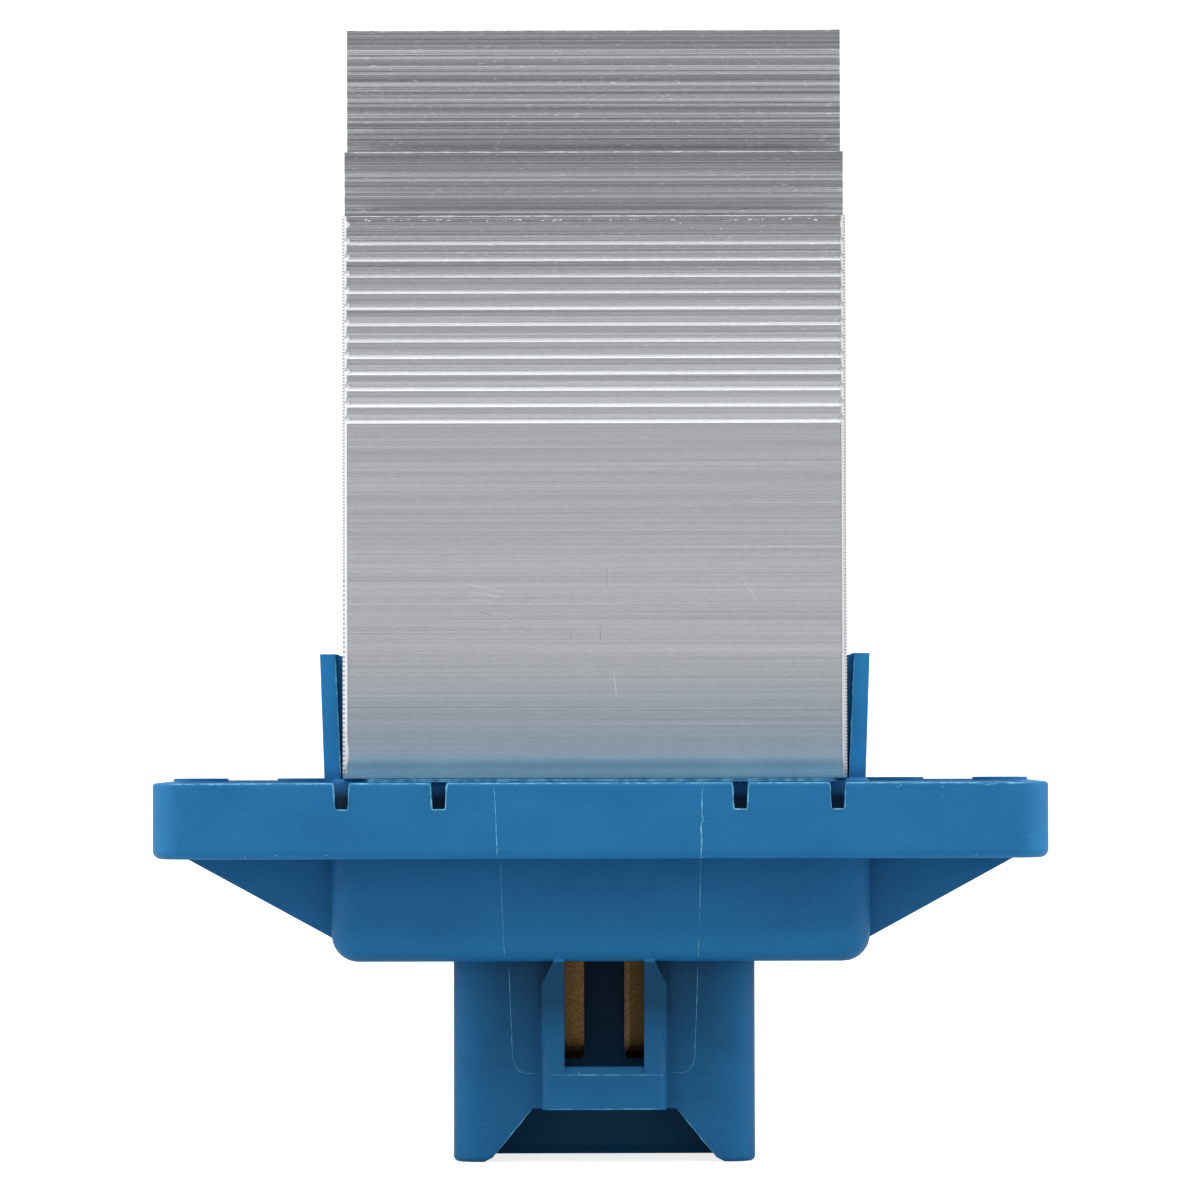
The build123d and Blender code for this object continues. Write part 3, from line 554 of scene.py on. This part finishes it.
def metal_tone(tree, y, z, looks_up, looks_down):
    """How bright the metal is at each place, with its scratches and nicks, and painted shade and highlights
    on the groove sides.
    """
    inner_fin = without(tree, band(tree, unsigned(tree, y), NEAR_FIN))
    scratched = spread(tree, z, 0.15, 1.0, GROOVED_FROM, GROOVED_TO)
    streaks = spread(tree, noise(tree, (7, 3000, 7800), 2), -0.30, 0.30, 0.36, 0.64)
    tone = math_node(tree, "MULTIPLY", spread(tree, z, 0.97, 0.62, GROOVED_FROM, GROOVED_TO),
                     math_node(tree, "MULTIPLY_ADD", streaks, scratched, 1.0))
    tone = math_node(tree, "MULTIPLY", tone, spread(tree, z, 1.0, 1.08, 60 * MM, 68 * MM))
    nicks = spread(tree, noise(tree, (1300, 3000, 7600), 2), 0.0, 0.42, 0.64, 0.74)
    grit = spread(tree, noise(tree, (1800, 3000, 8200), 2), -0.045, 0.045)
    tone = math_node(tree, "MULTIPLY_ADD", nicks, scratched, math_node(tree, "ADD", tone, grit))
    # Painted shade on the inner fins' groove sides that look up, and a painted highlight on their sides
    # that look down.
    painted_groove_shade = math_node(tree, "MULTIPLY", looks_up, spread(tree, inner_fin, -0.03, 0.40, 0.0, 1.0))
    shine = math_node(tree, "MULTIPLY", looks_down, math_node(tree, "MULTIPLY", inner_fin, 0.30))
    return math_node(tree, "MULTIPLY", tone, math_node(tree, "ADD", without(tree, painted_groove_shade), shine))


# %% [markdown]
# ## Aluminium
# The whole finish puts the pieces together: die lines in colour, shine and height, a matt foot,
# duller grooves, and cut metal on the ends and the torn corners, which is whiter and hardly
# mirrors. On the corners that white is also a painted highlight, with painted shade beside it,
# and the right side's cut metal is painted darker.

# %% Heat sink finish
def extruded(name, dark, light):
    """Bare metal: die lines along X, worn grooves, matt foot, torn corners with saw steps, and painted
    light, shade and blue reflection.
    """
    finish, tree, shader = new_finish(name, light, 0.32, 1.0)
    x, y, z = axes(tree, place(tree, (1, 1, 1)))
    facing_x = axes(tree, add_node(tree, "ShaderNodeNewGeometry").outputs["Normal"])[0]
    in_groove, looks_up, looks_down, worn_facing = worn_grooves(tree)
    corner, beside, from_end = torn_and_lit_corner(tree, x, y, z)
    sawn_end = spread(tree, unsigned(tree, facing_x), 0.0, 1.0, 0.8, 0.9)
    cut = math_node(tree, "MAXIMUM", sawn_end, corner)

    lines = math_node(tree, "ADD", math_node(tree, "MULTIPLY", noise(tree, (14, 2600, 6400), 3), 0.6),
                      math_node(tree, "MULTIPLY", noise(tree, (5, 700, 1100), 2), 0.4))
    colour = blend_colours(tree, spread(tree, lines, 0.0, 1.0, 0.3, 0.7), dark, light)
    colour = painted_blue_reflection(tree, colour, z)
    # Painted shade: a thin dark line beside the torn strip.
    tone = math_node(tree, "MULTIPLY", metal_tone(tree, y, z, looks_up, looks_down),
                     spread(tree, beside, 1.0, 0.72, 0.0, 1.0))
    step = saw_steps(tree, x, z, from_end)
    cut_colour = blend_colours(tree, step, (0.38, 0.39, 0.41), (0.87, 0.87, 0.88))
    # Painted shade: the right side's cut metal is darker.
    cut_colour = tinted(tree, cut_colour, spread(tree, x, 1.0, 0.80, -1 * MM, 1 * MM))
    tree.links.new(blend_colours(tree, cut, tinted(tree, colour, tone), cut_colour),
                   shader.inputs["Base Color"])

    matt = spread(tree, z, 1.0, 0.0, 1.0 * MM, 6.5 * MM)
    dull = spread(tree, lines, 0.27, 0.40)
    for mask, amount in ((cut, 0.12), (matt, 0.22), (in_groove, 0.22)):
        dull = math_node(tree, "MULTIPLY_ADD", mask, amount, dull)
    tree.links.new(dull, shader.inputs["Roughness"])
    metal = math_node(tree, "MULTIPLY", spread(tree, matt, 1.0, 0.55, 0.0, 1.0),
                      spread(tree, corner, 1.0, 0.25, 0.0, 1.0))
    tree.links.new(metal, shader.inputs["Metallic"])
    relief = math_node(tree, "MULTIPLY", lines, without(tree, cut))
    relief = math_node(tree, "MULTIPLY_ADD", step, cut, relief)
    tree.links.new(bump(tree, relief, 0.02 * MM, worn_facing), shader.inputs["Normal"])
    return finish


bare_aluminium = extruded("bare_aluminium", (0.64, 0.66, 0.69), (0.80, 0.82, 0.85))

# %% [markdown]
# ## Brass and the small parts inside
# The blades are rolled brass gone brown in the socket, with a fine grain. A painted highlight
# brightens their pressed left edges, painted shade darkens their tips most, and the right one is
# painted darker. The parts inside the tub are seen only when somebody takes the assembly apart,
# and each still gets its own finish: the board's green mask, tinned plates, black epoxy, a zinc screw.

# %% Finishes of the contacts and the inner parts
def grained(name, dark, light, roughness, metallic, scale, depth):
    """One recipe for small parts: two tones and a relief from the same cloud."""
    finish, tree, shader = new_finish(name, light, roughness, metallic)
    cloud = noise(tree, (scale, scale, scale * 0.6), 4)
    tree.links.new(blend_colours(tree, spread(tree, cloud, 0.0, 1.0), dark, light),
                   shader.inputs["Base Color"])
    tree.links.new(spread(tree, cloud, roughness - 0.06, roughness + 0.08), shader.inputs["Roughness"])
    tree.links.new(bump(tree, cloud, depth), shader.inputs["Normal"])
    return finish


def contact_brass(name, dark, light):
    """Brass with a fine grain, a painted highlight on the left edges, and painted shade on the tips and the
    right side.
    """
    finish, tree, shader = new_finish(name, light, 0.36, 1.0)
    x, _, z = axes(tree, place(tree, (1, 1, 1)))
    facing_x = axes(tree, add_node(tree, "ShaderNodeNewGeometry").outputs["Normal"])[0]
    grain = noise(tree, (7000, 7000, 5000), 3)
    colour = blend_colours(tree, spread(tree, grain, 0.0, 1.0, 0.35, 0.65), dark, light)
    # Painted highlight on the edges that face left, where the metal also mirrors less.
    painted_edge_highlight = spread(tree, facing_x, 1.0, 0.0, -0.30, -0.15)
    tone = math_node(tree, "MULTIPLY", spread(tree, x, 1.0, 0.60, -1 * MM, 2 * MM),
                     math_node(tree, "MULTIPLY_ADD", painted_edge_highlight, 3.5, 1.0))
    tree.links.new(spread(tree, painted_edge_highlight, 1.0, 0.2, 0.0, 1.0), shader.inputs["Metallic"])
    # Painted shade: the tips are darkest.
    tone = math_node(tree, "MULTIPLY", tone, spread(tree, z, 0.08, 1.0, -25.6 * MM, -24.2 * MM))
    tree.links.new(tinted(tree, colour, tone), shader.inputs["Base Color"])
    tree.links.new(spread(tree, grain, 0.32, 0.46), shader.inputs["Roughness"])
    tree.links.new(bump(tree, grain, 0.01 * MM), shader.inputs["Normal"])
    return finish


finishes = {
    "housing": blue_plastic,
    "heat_sink": bare_aluminium,
    "brass": contact_brass("aged_brass", (0.13, 0.075, 0.025), (0.30, 0.18, 0.07)),
    "board": grained("green_board", (0.006, 0.075, 0.030), (0.012, 0.115, 0.048),
                     0.35, 0.0, 1800, 0.006 * MM),
    "nylon": grained("natural_nylon", (0.60, 0.58, 0.50), (0.74, 0.72, 0.64), 0.45, 0.0, 1500, 0.004 * MM),
    "steel": grained("zinc_steel", (0.42, 0.43, 0.45), (0.62, 0.63, 0.66), 0.30, 1.0, 3000, 0.006 * MM),
    "can": grained("drawn_can", (0.52, 0.53, 0.55), (0.70, 0.71, 0.73), 0.28, 1.0, 2200, 0.004 * MM),
    "shunt": grained("shunt_strip", (0.42, 0.30, 0.24), (0.58, 0.44, 0.36), 0.34, 1.0, 2400, 0.005 * MM),
    "epoxy": grained("black_epoxy", (0.010, 0.010, 0.011), (0.022, 0.022, 0.024),
                     0.55, 0.0, 4200, 0.010 * MM),
    "plate": grained("tinned_copper", (0.50, 0.50, 0.50), (0.68, 0.67, 0.65), 0.32, 1.0, 2000, 0.005 * MM),
    "pad": grained("grey_pad", (0.20, 0.21, 0.22), (0.28, 0.29, 0.30), 0.75, 0.0, 2600, 0.006 * MM),
    "chip_ceramic": grained("chip_ceramic", (0.16, 0.12, 0.09), (0.30, 0.24, 0.18),
                            0.5, 0.0, 3600, 0.004 * MM),
}
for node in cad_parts.values():
    for place_in_list, old in enumerate(node.data.materials):
        node.data.materials[place_in_list] = finishes[old.name.split(".")[0]]
print("finishes:", len(finishes))

# %% [markdown]
# ## Tools for the fine work
# Flash, burrs and scratches are as thin as a hair and follow the surface they sit on. So each
# is given as a route seen from the front, in X and Z, and rays along Y drop it on the real
# surface. Edges are looked up in the same way, so that a burr stays on its edge. The numbers
# here are in millimetres.

# %% Rays, routes and edges
STEP = 0.16
SUNK = 0.02
RAY_START = 100
FEEL_STEP = 0.04
SAME_DEPTH = 0.4
skins = {}
for name in ("housing", "heat_sink"):
    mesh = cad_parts[name].data
    skins[name] = BVHTree.FromPolygons([v.co for v in mesh.vertices], [p.vertices for p in mesh.polygons])


def touch(skin, x, z, side=-1):
    """The spot, and its facing, where a ray from the front (-1) or the back (1) meets a skin."""
    start = Vector((x * MM, side * RAY_START * MM, z * MM))
    spot, facing, _, _ = skins[skin].ray_cast(start, Vector((0, -side, 0)))
    if spot is None:
        return None
    return spot, facing if facing.y * side > 0 else -facing


def open_spans(skin, depth, z, low, high):
    """Stretches of X at height z where the face at this depth is missing."""
    spans = []
    was_open = False
    for number in range(int((high - low) / FEEL_STEP) + 1):
        x = low + number * FEEL_STEP
        found = touch(skin, x, z)
        is_open = found is None or abs(found[0].y / MM - depth) > SAME_DEPTH
        if is_open and not was_open:
            spans.append([x, x])
        if is_open:
            spans[-1][1] = x
        was_open = is_open
    return spans


def lay(skin, route, side=-1):
    """Stations every STEP along a route in mm, each dropped on the skin."""
    spots = []
    for (x0, z0), (x1, z1) in zip(route, route[1:]):
        count = max(1, round(math.hypot(x1 - x0, z1 - z0) / STEP))
        spots += [(x0 + (x1 - x0) * i / count, z0 + (z1 - z0) * i / count) for i in range(count)]
    spots.append(route[-1])
    found = [touch(skin, x, z, side) for x, z in spots]
    return [station for station in found if station]


def ripple(count, every, dice):
    """Smooth random numbers from -1 to 1, with a new one drawn every few steps."""
    knots = [dice.uniform(-1, 1) for _ in range(count // every + 3)]
    values = []
    for number in range(count):
        place_in_knots, part = divmod(number / every, 1)
        ease = part * part * (3 - 2 * part)
        first, second = knots[int(place_in_knots)], knots[int(place_in_knots) + 1]
        values.append(first + (second - first) * ease)
    return values


# %% [markdown]
# ## Closed threads and crumbs
# A thread is a low ridge with six corners in section, swelling and thinning on the way and
# pointed at both ends. A crumb is a flat pebble. Both are closed and sit a fiftieth of a
# millimetre deep, so that no gap shows under them.

# %% Threads and crumbs
SECTION = ((-1.0, 0.0), (-0.8, 0.55), (-0.3, 1.0), (0.3, 1.0), (0.8, 0.55), (1.0, 0.0))
LIP_SECTION = ((-1.0, 0.0), (-0.95, 0.96), (-0.7, 1.0), (0.7, 1.0), (0.95, 0.96), (1.0, 0.0))


def thread(stations, width, height, ragged, dice, section=SECTION):
    """One ridge along the stations; sizes in mm. Returns its points and faces."""
    count = len(stations)
    swell = ripple(count, 4, dice)
    rise = ripple(count, 3, dice)
    points = []
    for number, (spot, facing) in enumerate(stations):
        ahead = stations[min(number + 1, count - 1)][0] - stations[max(number - 1, 0)][0]
        across = ahead.cross(facing).normalized()
        point = min(1.0, 0.2 + min(number, count - 1 - number) / 5)
        half = width / 2 * MM * (1 + ragged * swell[number]) * point
        top = height * MM * (1 + ragged * rise[number]) * point
        for aside, up in section:
            lift = top * up if up else -SUNK * MM
            points.append(spot + across * (half * aside) + facing * lift)
    corners = len(section)
    faces = [tuple(range(corners - 1, -1, -1)), tuple(range((count - 1) * corners, count * corners))]
    for number in range(count - 1):
        for corner in range(corners):
            following = (corner + 1) % corners
            faces.append((number * corners + corner, number * corners + following,
                          (number + 1) * corners + following, (number + 1) * corners + corner))
    return points, faces


def crumb(station, length, tall, height, dice):
    """One flat pebble of seven corners round a raised middle; sizes in mm."""
    spot, facing = station
    along = Vector((1, 0, 0))
    upward = facing.cross(along).normalized()
    corners = 7
    low, mid = [], []
    for number in range(corners):
        angle = 2 * math.pi * number / corners
        reach = dice.uniform(0.75, 1.15)
        offset = along * (length / 2 * MM * reach * math.cos(angle))
        offset += upward * (tall / 2 * MM * reach * math.sin(angle))
        low.append(spot + offset - facing * (SUNK * MM))
        mid.append(spot + offset * 0.7 + facing * (height * MM * dice.uniform(0.6, 1.0)))
    peak = spot + facing * (height * MM)
    faces = [tuple(range(corners - 1, -1, -1))]
    for number in range(corners):
        following = (number + 1) % corners
        faces.append((number, following, corners + following, corners + number))
        faces.append((corners + number, corners + following, 2 * corners))
    return low + mid + [peak], faces


def make_piece(name, shells, finish):
    """One piece from closed shells. It rides on the part and takes a finish."""
    points, faces = [], []
    for shell_points, shell_faces in shells:
        start = len(points)
        points += shell_points
        faces += [[start + corner for corner in face] for face in shell_faces]
    mesh = bpy.data.meshes.new(name)
    mesh.from_pydata(points, [], faces)
    shaper = bmesh.new()
    shaper.from_mesh(mesh)
    bmesh.ops.recalc_face_normals(shaper, faces=shaper.faces)
    for face in shaper.faces:
        face.smooth = len(face.verts) < len(SECTION)
    shaper.to_mesh(mesh)
    shaper.free()
    mesh.materials.append(finish)
    piece = bpy.data.objects.new(name, mesh)
    bpy.context.scene.collection.objects.link(piece)
    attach(piece, "root")
    print(name, len(shells), "shells", len(faces), "faces")
    return piece


# %% [markdown]
# ## Parting lines
# The connector side of the mould closes on the front of the housing. Where its insert meets
# the main half, plastic crept into the joint: one thread on each side runs down the flange, the
# tub and the socket, then turns in to the latch guide. The right one is the rougher. Every face
# has its own thread, because the faces stand at different depths. On the flange the flash has
# torn and gone pale. Lower down it is thinner and keeps more of its blue.

# %% Parting lines on the front
dice = random.Random(11)
left_flange = [(-9.72, -0.45), (-9.63, -2.0), (-9.55, -4.0), (-9.50, -5.5), (-9.43, -6.9)]
left_tub = [(-9.28, -7.1), (-9.14, -11.2), (-8.99, -14.9), (-8.86, -16.5)]
left_socket = [(-8.58, -17.0), (-8.50, -19.6), (-8.40, -22.2), (-8.30, -24.9), (-8.20, -25.9),
               (-8.07, -26.3), (-7.90, -26.7), (-7.62, -27.05), (-7.10, -27.2), (-5.75, -27.24)]
right_flange = [(9.45, -0.3), (9.27, -0.95), (9.27, -2.3), (9.25, -2.8), (9.31, -3.3), (9.17, -4.1),
                (9.23, -5.1), (9.21, -6.0), (9.17, -6.95)]
right_tub = [(9.26, -7.2), (9.22, -9.4), (9.14, -13.1), (9.04, -15.0), (9.02, -16.6)]
right_socket = [(9.03, -17.0), (8.96, -19.8), (8.89, -22.0), (8.78, -23.8), (8.75, -25.0), (8.73, -25.6),
                (8.59, -26.3), (8.35, -26.7), (8.07, -27.06), (7.65, -27.2), (6.35, -27.18)]
shells = [thread(lay("housing", left_flange), 0.09, 0.035, 0.30, dice),
          thread(lay("housing", right_flange), 0.13, 0.050, 0.50, dice)]
for x, z, length, tall in ((9.34, -3.3, 0.20, 0.30), (9.44, -3.55, 0.16, 0.26), (9.21, -6.85, 0.26, 0.18)):
    shells.append(crumb(touch("housing", x, z), length, tall, 0.05, dice))
make_piece("flange_flash", shells, pale_burr_and_highlight)

shells = [thread(lay("housing", left_tub), 0.09, 0.025, 0.35, dice),
          thread(lay("housing", right_tub), 0.10, 0.030, 0.50, dice),
          thread(lay("housing", left_socket), 0.085, 0.022, 0.30, dice),
          thread(lay("housing", right_socket), 0.090, 0.022, 0.30, dice)]
for x, z, length, tall in ((9.18, -9.7, 0.15, 0.28), (-8.96, -15.6, 0.14, 0.24)):
    shells.append(crumb(touch("housing", x, z), length, tall, 0.04, dice))
make_piece("tub_flash", shells, thin_flash)

# %% [markdown]
# ## Burrs on the rim
# The rim's upper front edge has a ragged pale burr, whose pale is also a painted highlight along
# the edge. It dips into each slot, follows its two sides and its bottom, and comes out again. The
# slots are looked up at two heights, so the burr leans with their tapered sides. Under the heat
# sink's foot the deck ends in a thin squeezed-out lip, blue below and pale on top, where the pale
# paints the highlight of the deck's edge; the lip closes the dark gap there.

# %% Rim and slot burrs
RIM_FRONT = cad_box[0].y / MM
RIM_LINE = -0.10
SLOT_UPPER, SLOT_LOWER, SLOT_FLOOR = -0.6, -2.2, -2.45
EDGE = 0.05


def rim_route():
    """Along the rim's front edge, in and out of every slot."""
    upper = open_spans("housing", RIM_FRONT, SLOT_UPPER, -30, 30)
    lower = open_spans("housing", RIM_FRONT, SLOT_LOWER, -30, 30)
    floor_line = SLOT_FLOOR - EDGE
    route = [(-39.8, RIM_LINE - 0.06), (-37, RIM_LINE - 0.03)]
    for (left_up, right_up), (left_low, right_low) in zip(upper, lower):
        route += [(left_up - 0.30, RIM_LINE), (left_up - 0.12, RIM_LINE - 0.06),
                  (left_up - EDGE, RIM_LINE - 0.3), (left_low - EDGE, floor_line + 0.2),
                  (left_low + 0.05, floor_line), (right_low - 0.05, floor_line),
                  (right_low + EDGE, floor_line + 0.2), (right_up + EDGE, RIM_LINE - 0.3),
                  (right_up + 0.12, RIM_LINE - 0.06), (right_up + 0.30, RIM_LINE)]
    return route + [(27.5, RIM_LINE), (34.6, RIM_LINE - 0.02), (35.3, RIM_LINE - 0.22),
                    (36.4, RIM_LINE - 0.04), (39.8, RIM_LINE - 0.06)]


route = rim_route()
dice = random.Random(23)
wavy = [(x, z + 0.02 * wave) for (x, z), wave in zip(route, ripple(len(route), 1, dice))]
shells = [thread(lay("housing", wavy), 0.12, 0.035, 0.65, dice)]
FORWARD = Vector((0, -1, 0))
LIP_REACH = SINK_HIGH.y / MM - 12.9


def deck_lip(z, wave_height, width, reach, dice):
    """A thin lip that runs along the deck's front edge and reaches forward from it."""
    edge = [(x, z + wave_height * wave) for x, wave in zip(range(-22, 23), ripple(45, 2, dice))]
    stations = [(spot, FORWARD) for spot, _ in lay("housing", edge)]
    return thread(stations, width, reach, 0.03, dice, LIP_SECTION)


shells.append(deck_lip(0.205, 0.008, 0.12, LIP_REACH, dice))
make_piece("deck_lip", [deck_lip(0.05, 0.0, 0.19, LIP_REACH - 0.1, dice)], thin_flash)
for _ in range(40):
    spot = touch("housing", dice.uniform(-30, 37), RIM_LINE + dice.uniform(-0.06, 0.05))
    shells.append(crumb(spot, dice.uniform(0.15, 0.55), dice.uniform(0.08, 0.15), 0.04, dice))
make_piece("rim_burrs_and_highlight", shells, pale_burr_and_highlight)

# %% [markdown]
# ## Burrs round the openings
# Thin pale burrs follow the notch in the socket's mouth, the bridge and the inner edges of the
# two arms; their pale is also a painted highlight along these edges. They are found on the frame
# too: at each height the opening is the widest stretch where the face is missing.

# %% Notch, bridge and arm burrs
SHROUD_FRONT = -7.0
ARM_FRONT = -10.0
NOTCH_HEIGHTS = [-34.8 + number * 0.38 for number in range(12)]
ARM_HEIGHTS = [0.6 + number * 0.47 for number in range(24)]
dice = random.Random(31)


def opening_edge(depth, heights, low, high, end):
    """The left (0) or right (1) edge of an opening, as a route up its side."""
    route = []
    for z in heights:
        span = max(open_spans("housing", depth, z, low, high), key=lambda s: s[1] - s[0])
        route.append((span[end] + (EDGE if end else -EDGE), z))
    return route


shells = [thread(lay("housing", [(-5.0, -30.40), (5.6, -30.40)]), 0.09, 0.03, 0.4, dice),
          thread(lay("housing", [(-5.1, -27.22), (5.7, -27.25)]), 0.07, 0.02, 0.5, dice)]
for end in (0, 1):
    notch = opening_edge(SHROUD_FRONT, NOTCH_HEIGHTS, -11.6, 12.2, end)
    shells.append(thread(lay("housing", notch), 0.08, 0.025, 0.4, dice))
    arm = opening_edge(ARM_FRONT, ARM_HEIGHTS, -25, 24.5, end)
    shells.append(thread(lay("housing", arm), 0.10, 0.035, 0.5, dice))
make_piece("opening_burrs_and_highlight", shells, pale_burr_and_highlight)

# %% [markdown]
# ## Specks on the plastic
# A few crumbs of pale plastic sit where the photo shows them: along the flange's lower edge, on
# its face and on the bridge.

# %% Specks
dice = random.Random(41)
speck_places = ((-8.56, -0.84), (-2.06, -27.02), (5.65, -27.33), (-28.28, -6.6), (-28.5, -6.8),
                (-26.74, -6.8), (-25.05, -6.6), (-32.48, -6.8), (-29.61, -6.6), (39.3, -5.05),
                (34.33, -6.7), (34.15, -6.8), (27.17, -0.5), (27.43, -0.35), (31.24, -0.5), (31.22, -1.3))
shells = [crumb(touch("housing", x, z), dice.uniform(0.12, 0.20), dice.uniform(0.12, 0.20), 0.05, dice)
          for x, z in speck_places]
make_piece("plastic_specks", shells, pale_burr_and_highlight)

# %% [markdown]
# ## Burrs on the fin tops
# The die leaves a slight bright burr along the top edge of every fin. The tops are felt with
# rays from the front and from the back, so each fin that shows from either side gets its line.

# %% Bright top edges
torn_metal_and_highlight = grained("torn_metal_and_highlight", (0.80, 0.80, 0.81), (0.98, 0.98, 0.98), 0.5, 0.35, 3000, 0.004 * MM)
top_burr = grained("top_burr", (0.62, 0.63, 0.65), (0.84, 0.85, 0.86), 0.42, 0.9, 2600, 0.004 * MM)
TOPS_FROM, TOPS_TO = 45, 72
PER_MM = 20
TO_NEXT_FIN = 3
BELOW_TOP = 0.06


def fin_tops(side):
    """Heights in mm at which the face felt from one side steps back to the next fin."""
    tops = []
    last_depth = None
    for number in range(PER_MM * TOPS_FROM, PER_MM * TOPS_TO):
        z = number / PER_MM
        found = touch("heat_sink", 0, z, side)
        depth = abs(found[0].y) / MM if found else -10
        if last_depth is not None and last_depth - depth > TO_NEXT_FIN:
            tops.append(z - 1 / PER_MM)
        last_depth = depth
    return tops


dice = random.Random(47)
shells = []
for side in (-1, 1):
    for z in fin_tops(side):
        top_edge = [(SINK_LOW.x / MM + 0.5, z - BELOW_TOP), (SINK_HIGH.x / MM - 0.5, z - BELOW_TOP)]
        shells.append(thread(lay("heat_sink", top_edge, side), 0.10, 0.02, 0.6, dice))
make_piece("fin_top_burrs", shells, top_burr)
print("fin tops felt at", fin_tops(-1))

# %% [markdown]
# ## Marks on the metal
# The saw and the handling left torn flecks just under the nearest fin's top edge, a few bright
# scratches, and darker scuffs in the middle of its face. All are slivers that hardly stand out.

# %% Flecks and scratches
scuffed_metal = grained("scuffed_metal", (0.30, 0.31, 0.33), (0.42, 0.43, 0.45), 0.4, 1.0, 3000, 0.004 * MM)
FLECK_LINE = 51.94
dice = random.Random(53)
shells = []
fleck_places = [-21.6, -21.2, -16.1, -15.0, -14.6, -13.9, -7.8, -7.3, -5.3, -4.1, -3.7,
                1.1, 3.25, 6.9, 12.2, 12.7, 13.9, 14.5, 15.1, 17.0, 17.6, 20.0]
for x in fleck_places:
    spot = touch("heat_sink", x + dice.uniform(-0.1, 0.1), FLECK_LINE + dice.uniform(-0.06, 0.06))
    shells.append(crumb(spot, dice.uniform(0.2, 0.65), dice.uniform(0.07, 0.12), 0.02, dice))
for _ in range(46):
    spot = touch("heat_sink", dice.uniform(-22.5, 21.5), FLECK_LINE + dice.uniform(-0.12, 0.1))
    shells.append(crumb(spot, dice.uniform(0.10, 0.30), dice.uniform(0.05, 0.08), 0.015, dice))
nick_places = ((-1.4, 66.2), (11.3, 51.1), (7.5, 51.6), (-20.2, 51.3), (8.6, 51.2), (3.4, 57.9),
               (14.0, 56.3))
for x, z in nick_places:
    shells.append(crumb(touch("heat_sink", x, z), 0.2, 0.10, 0.02, dice))
light_scratches = (((12.93, 19.0), (13.9, 17.6), (14.96, 16.0)), ((7.66, 26.2), (8.96, 24.8)),
                   ((1.2, 10.4), (1.57, 7.5)), ((-12.5, 18.3), (-8.4, 17.5)), ((-12.2, 17.6), (-8.8, 17.0)),
                   ((-11.9, 16.9), (-9.3, 16.5)))
# The pale curl at the left corner's foot carries the torn corner down; its white is also a painted
# highlight of the broken corner.
corner_x = SINK_LOW.x / MM
curl = [(corner_x + 0.10, 5.4), (corner_x + 0.32, 4.2), (corner_x + 0.50, 3.0), (corner_x + 0.46, 2.0),
        (corner_x + 0.18, 0.8)]
shells.append(thread(lay("heat_sink", curl), 0.17, 0.03, 0.3, dice))
for route in light_scratches:
    shells.append(thread(lay("heat_sink", route), 0.035, 0.006, 0.5, dice))
make_piece("metal_flecks", shells, torn_metal_and_highlight)

dark_scuffs = (((-11.5, 15.9), (-9.6, 15.2)), ((-9.0, 15.4), (-7.4, 14.6)), ((-7.9, 14.3), (-6.2, 13.95)),
               ((-2.68, 14.1), (-2.66, 12.85)), ((0.0, 14.4), (0.02, 12.85)), ((0.65, 20.1), (0.64, 17.6)),
               ((-2.59, 17.1), (-2.58, 16.3)))
shells = [thread(lay("heat_sink", route), 0.05, 0.005, 0.5, dice) for route in dark_scuffs]
dashes = 12
for number in range(dashes):
    start = number / dashes
    end = start + 0.55 / dashes
    dash = [(-18.28 + 11.8 * part, 19.95 + 2.8 * part) for part in (start, end)]
    shells.append(thread(lay("heat_sink", dash), 0.035, 0.004, 0.4, dice))
make_piece("metal_scuffs", shells, scuffed_metal)
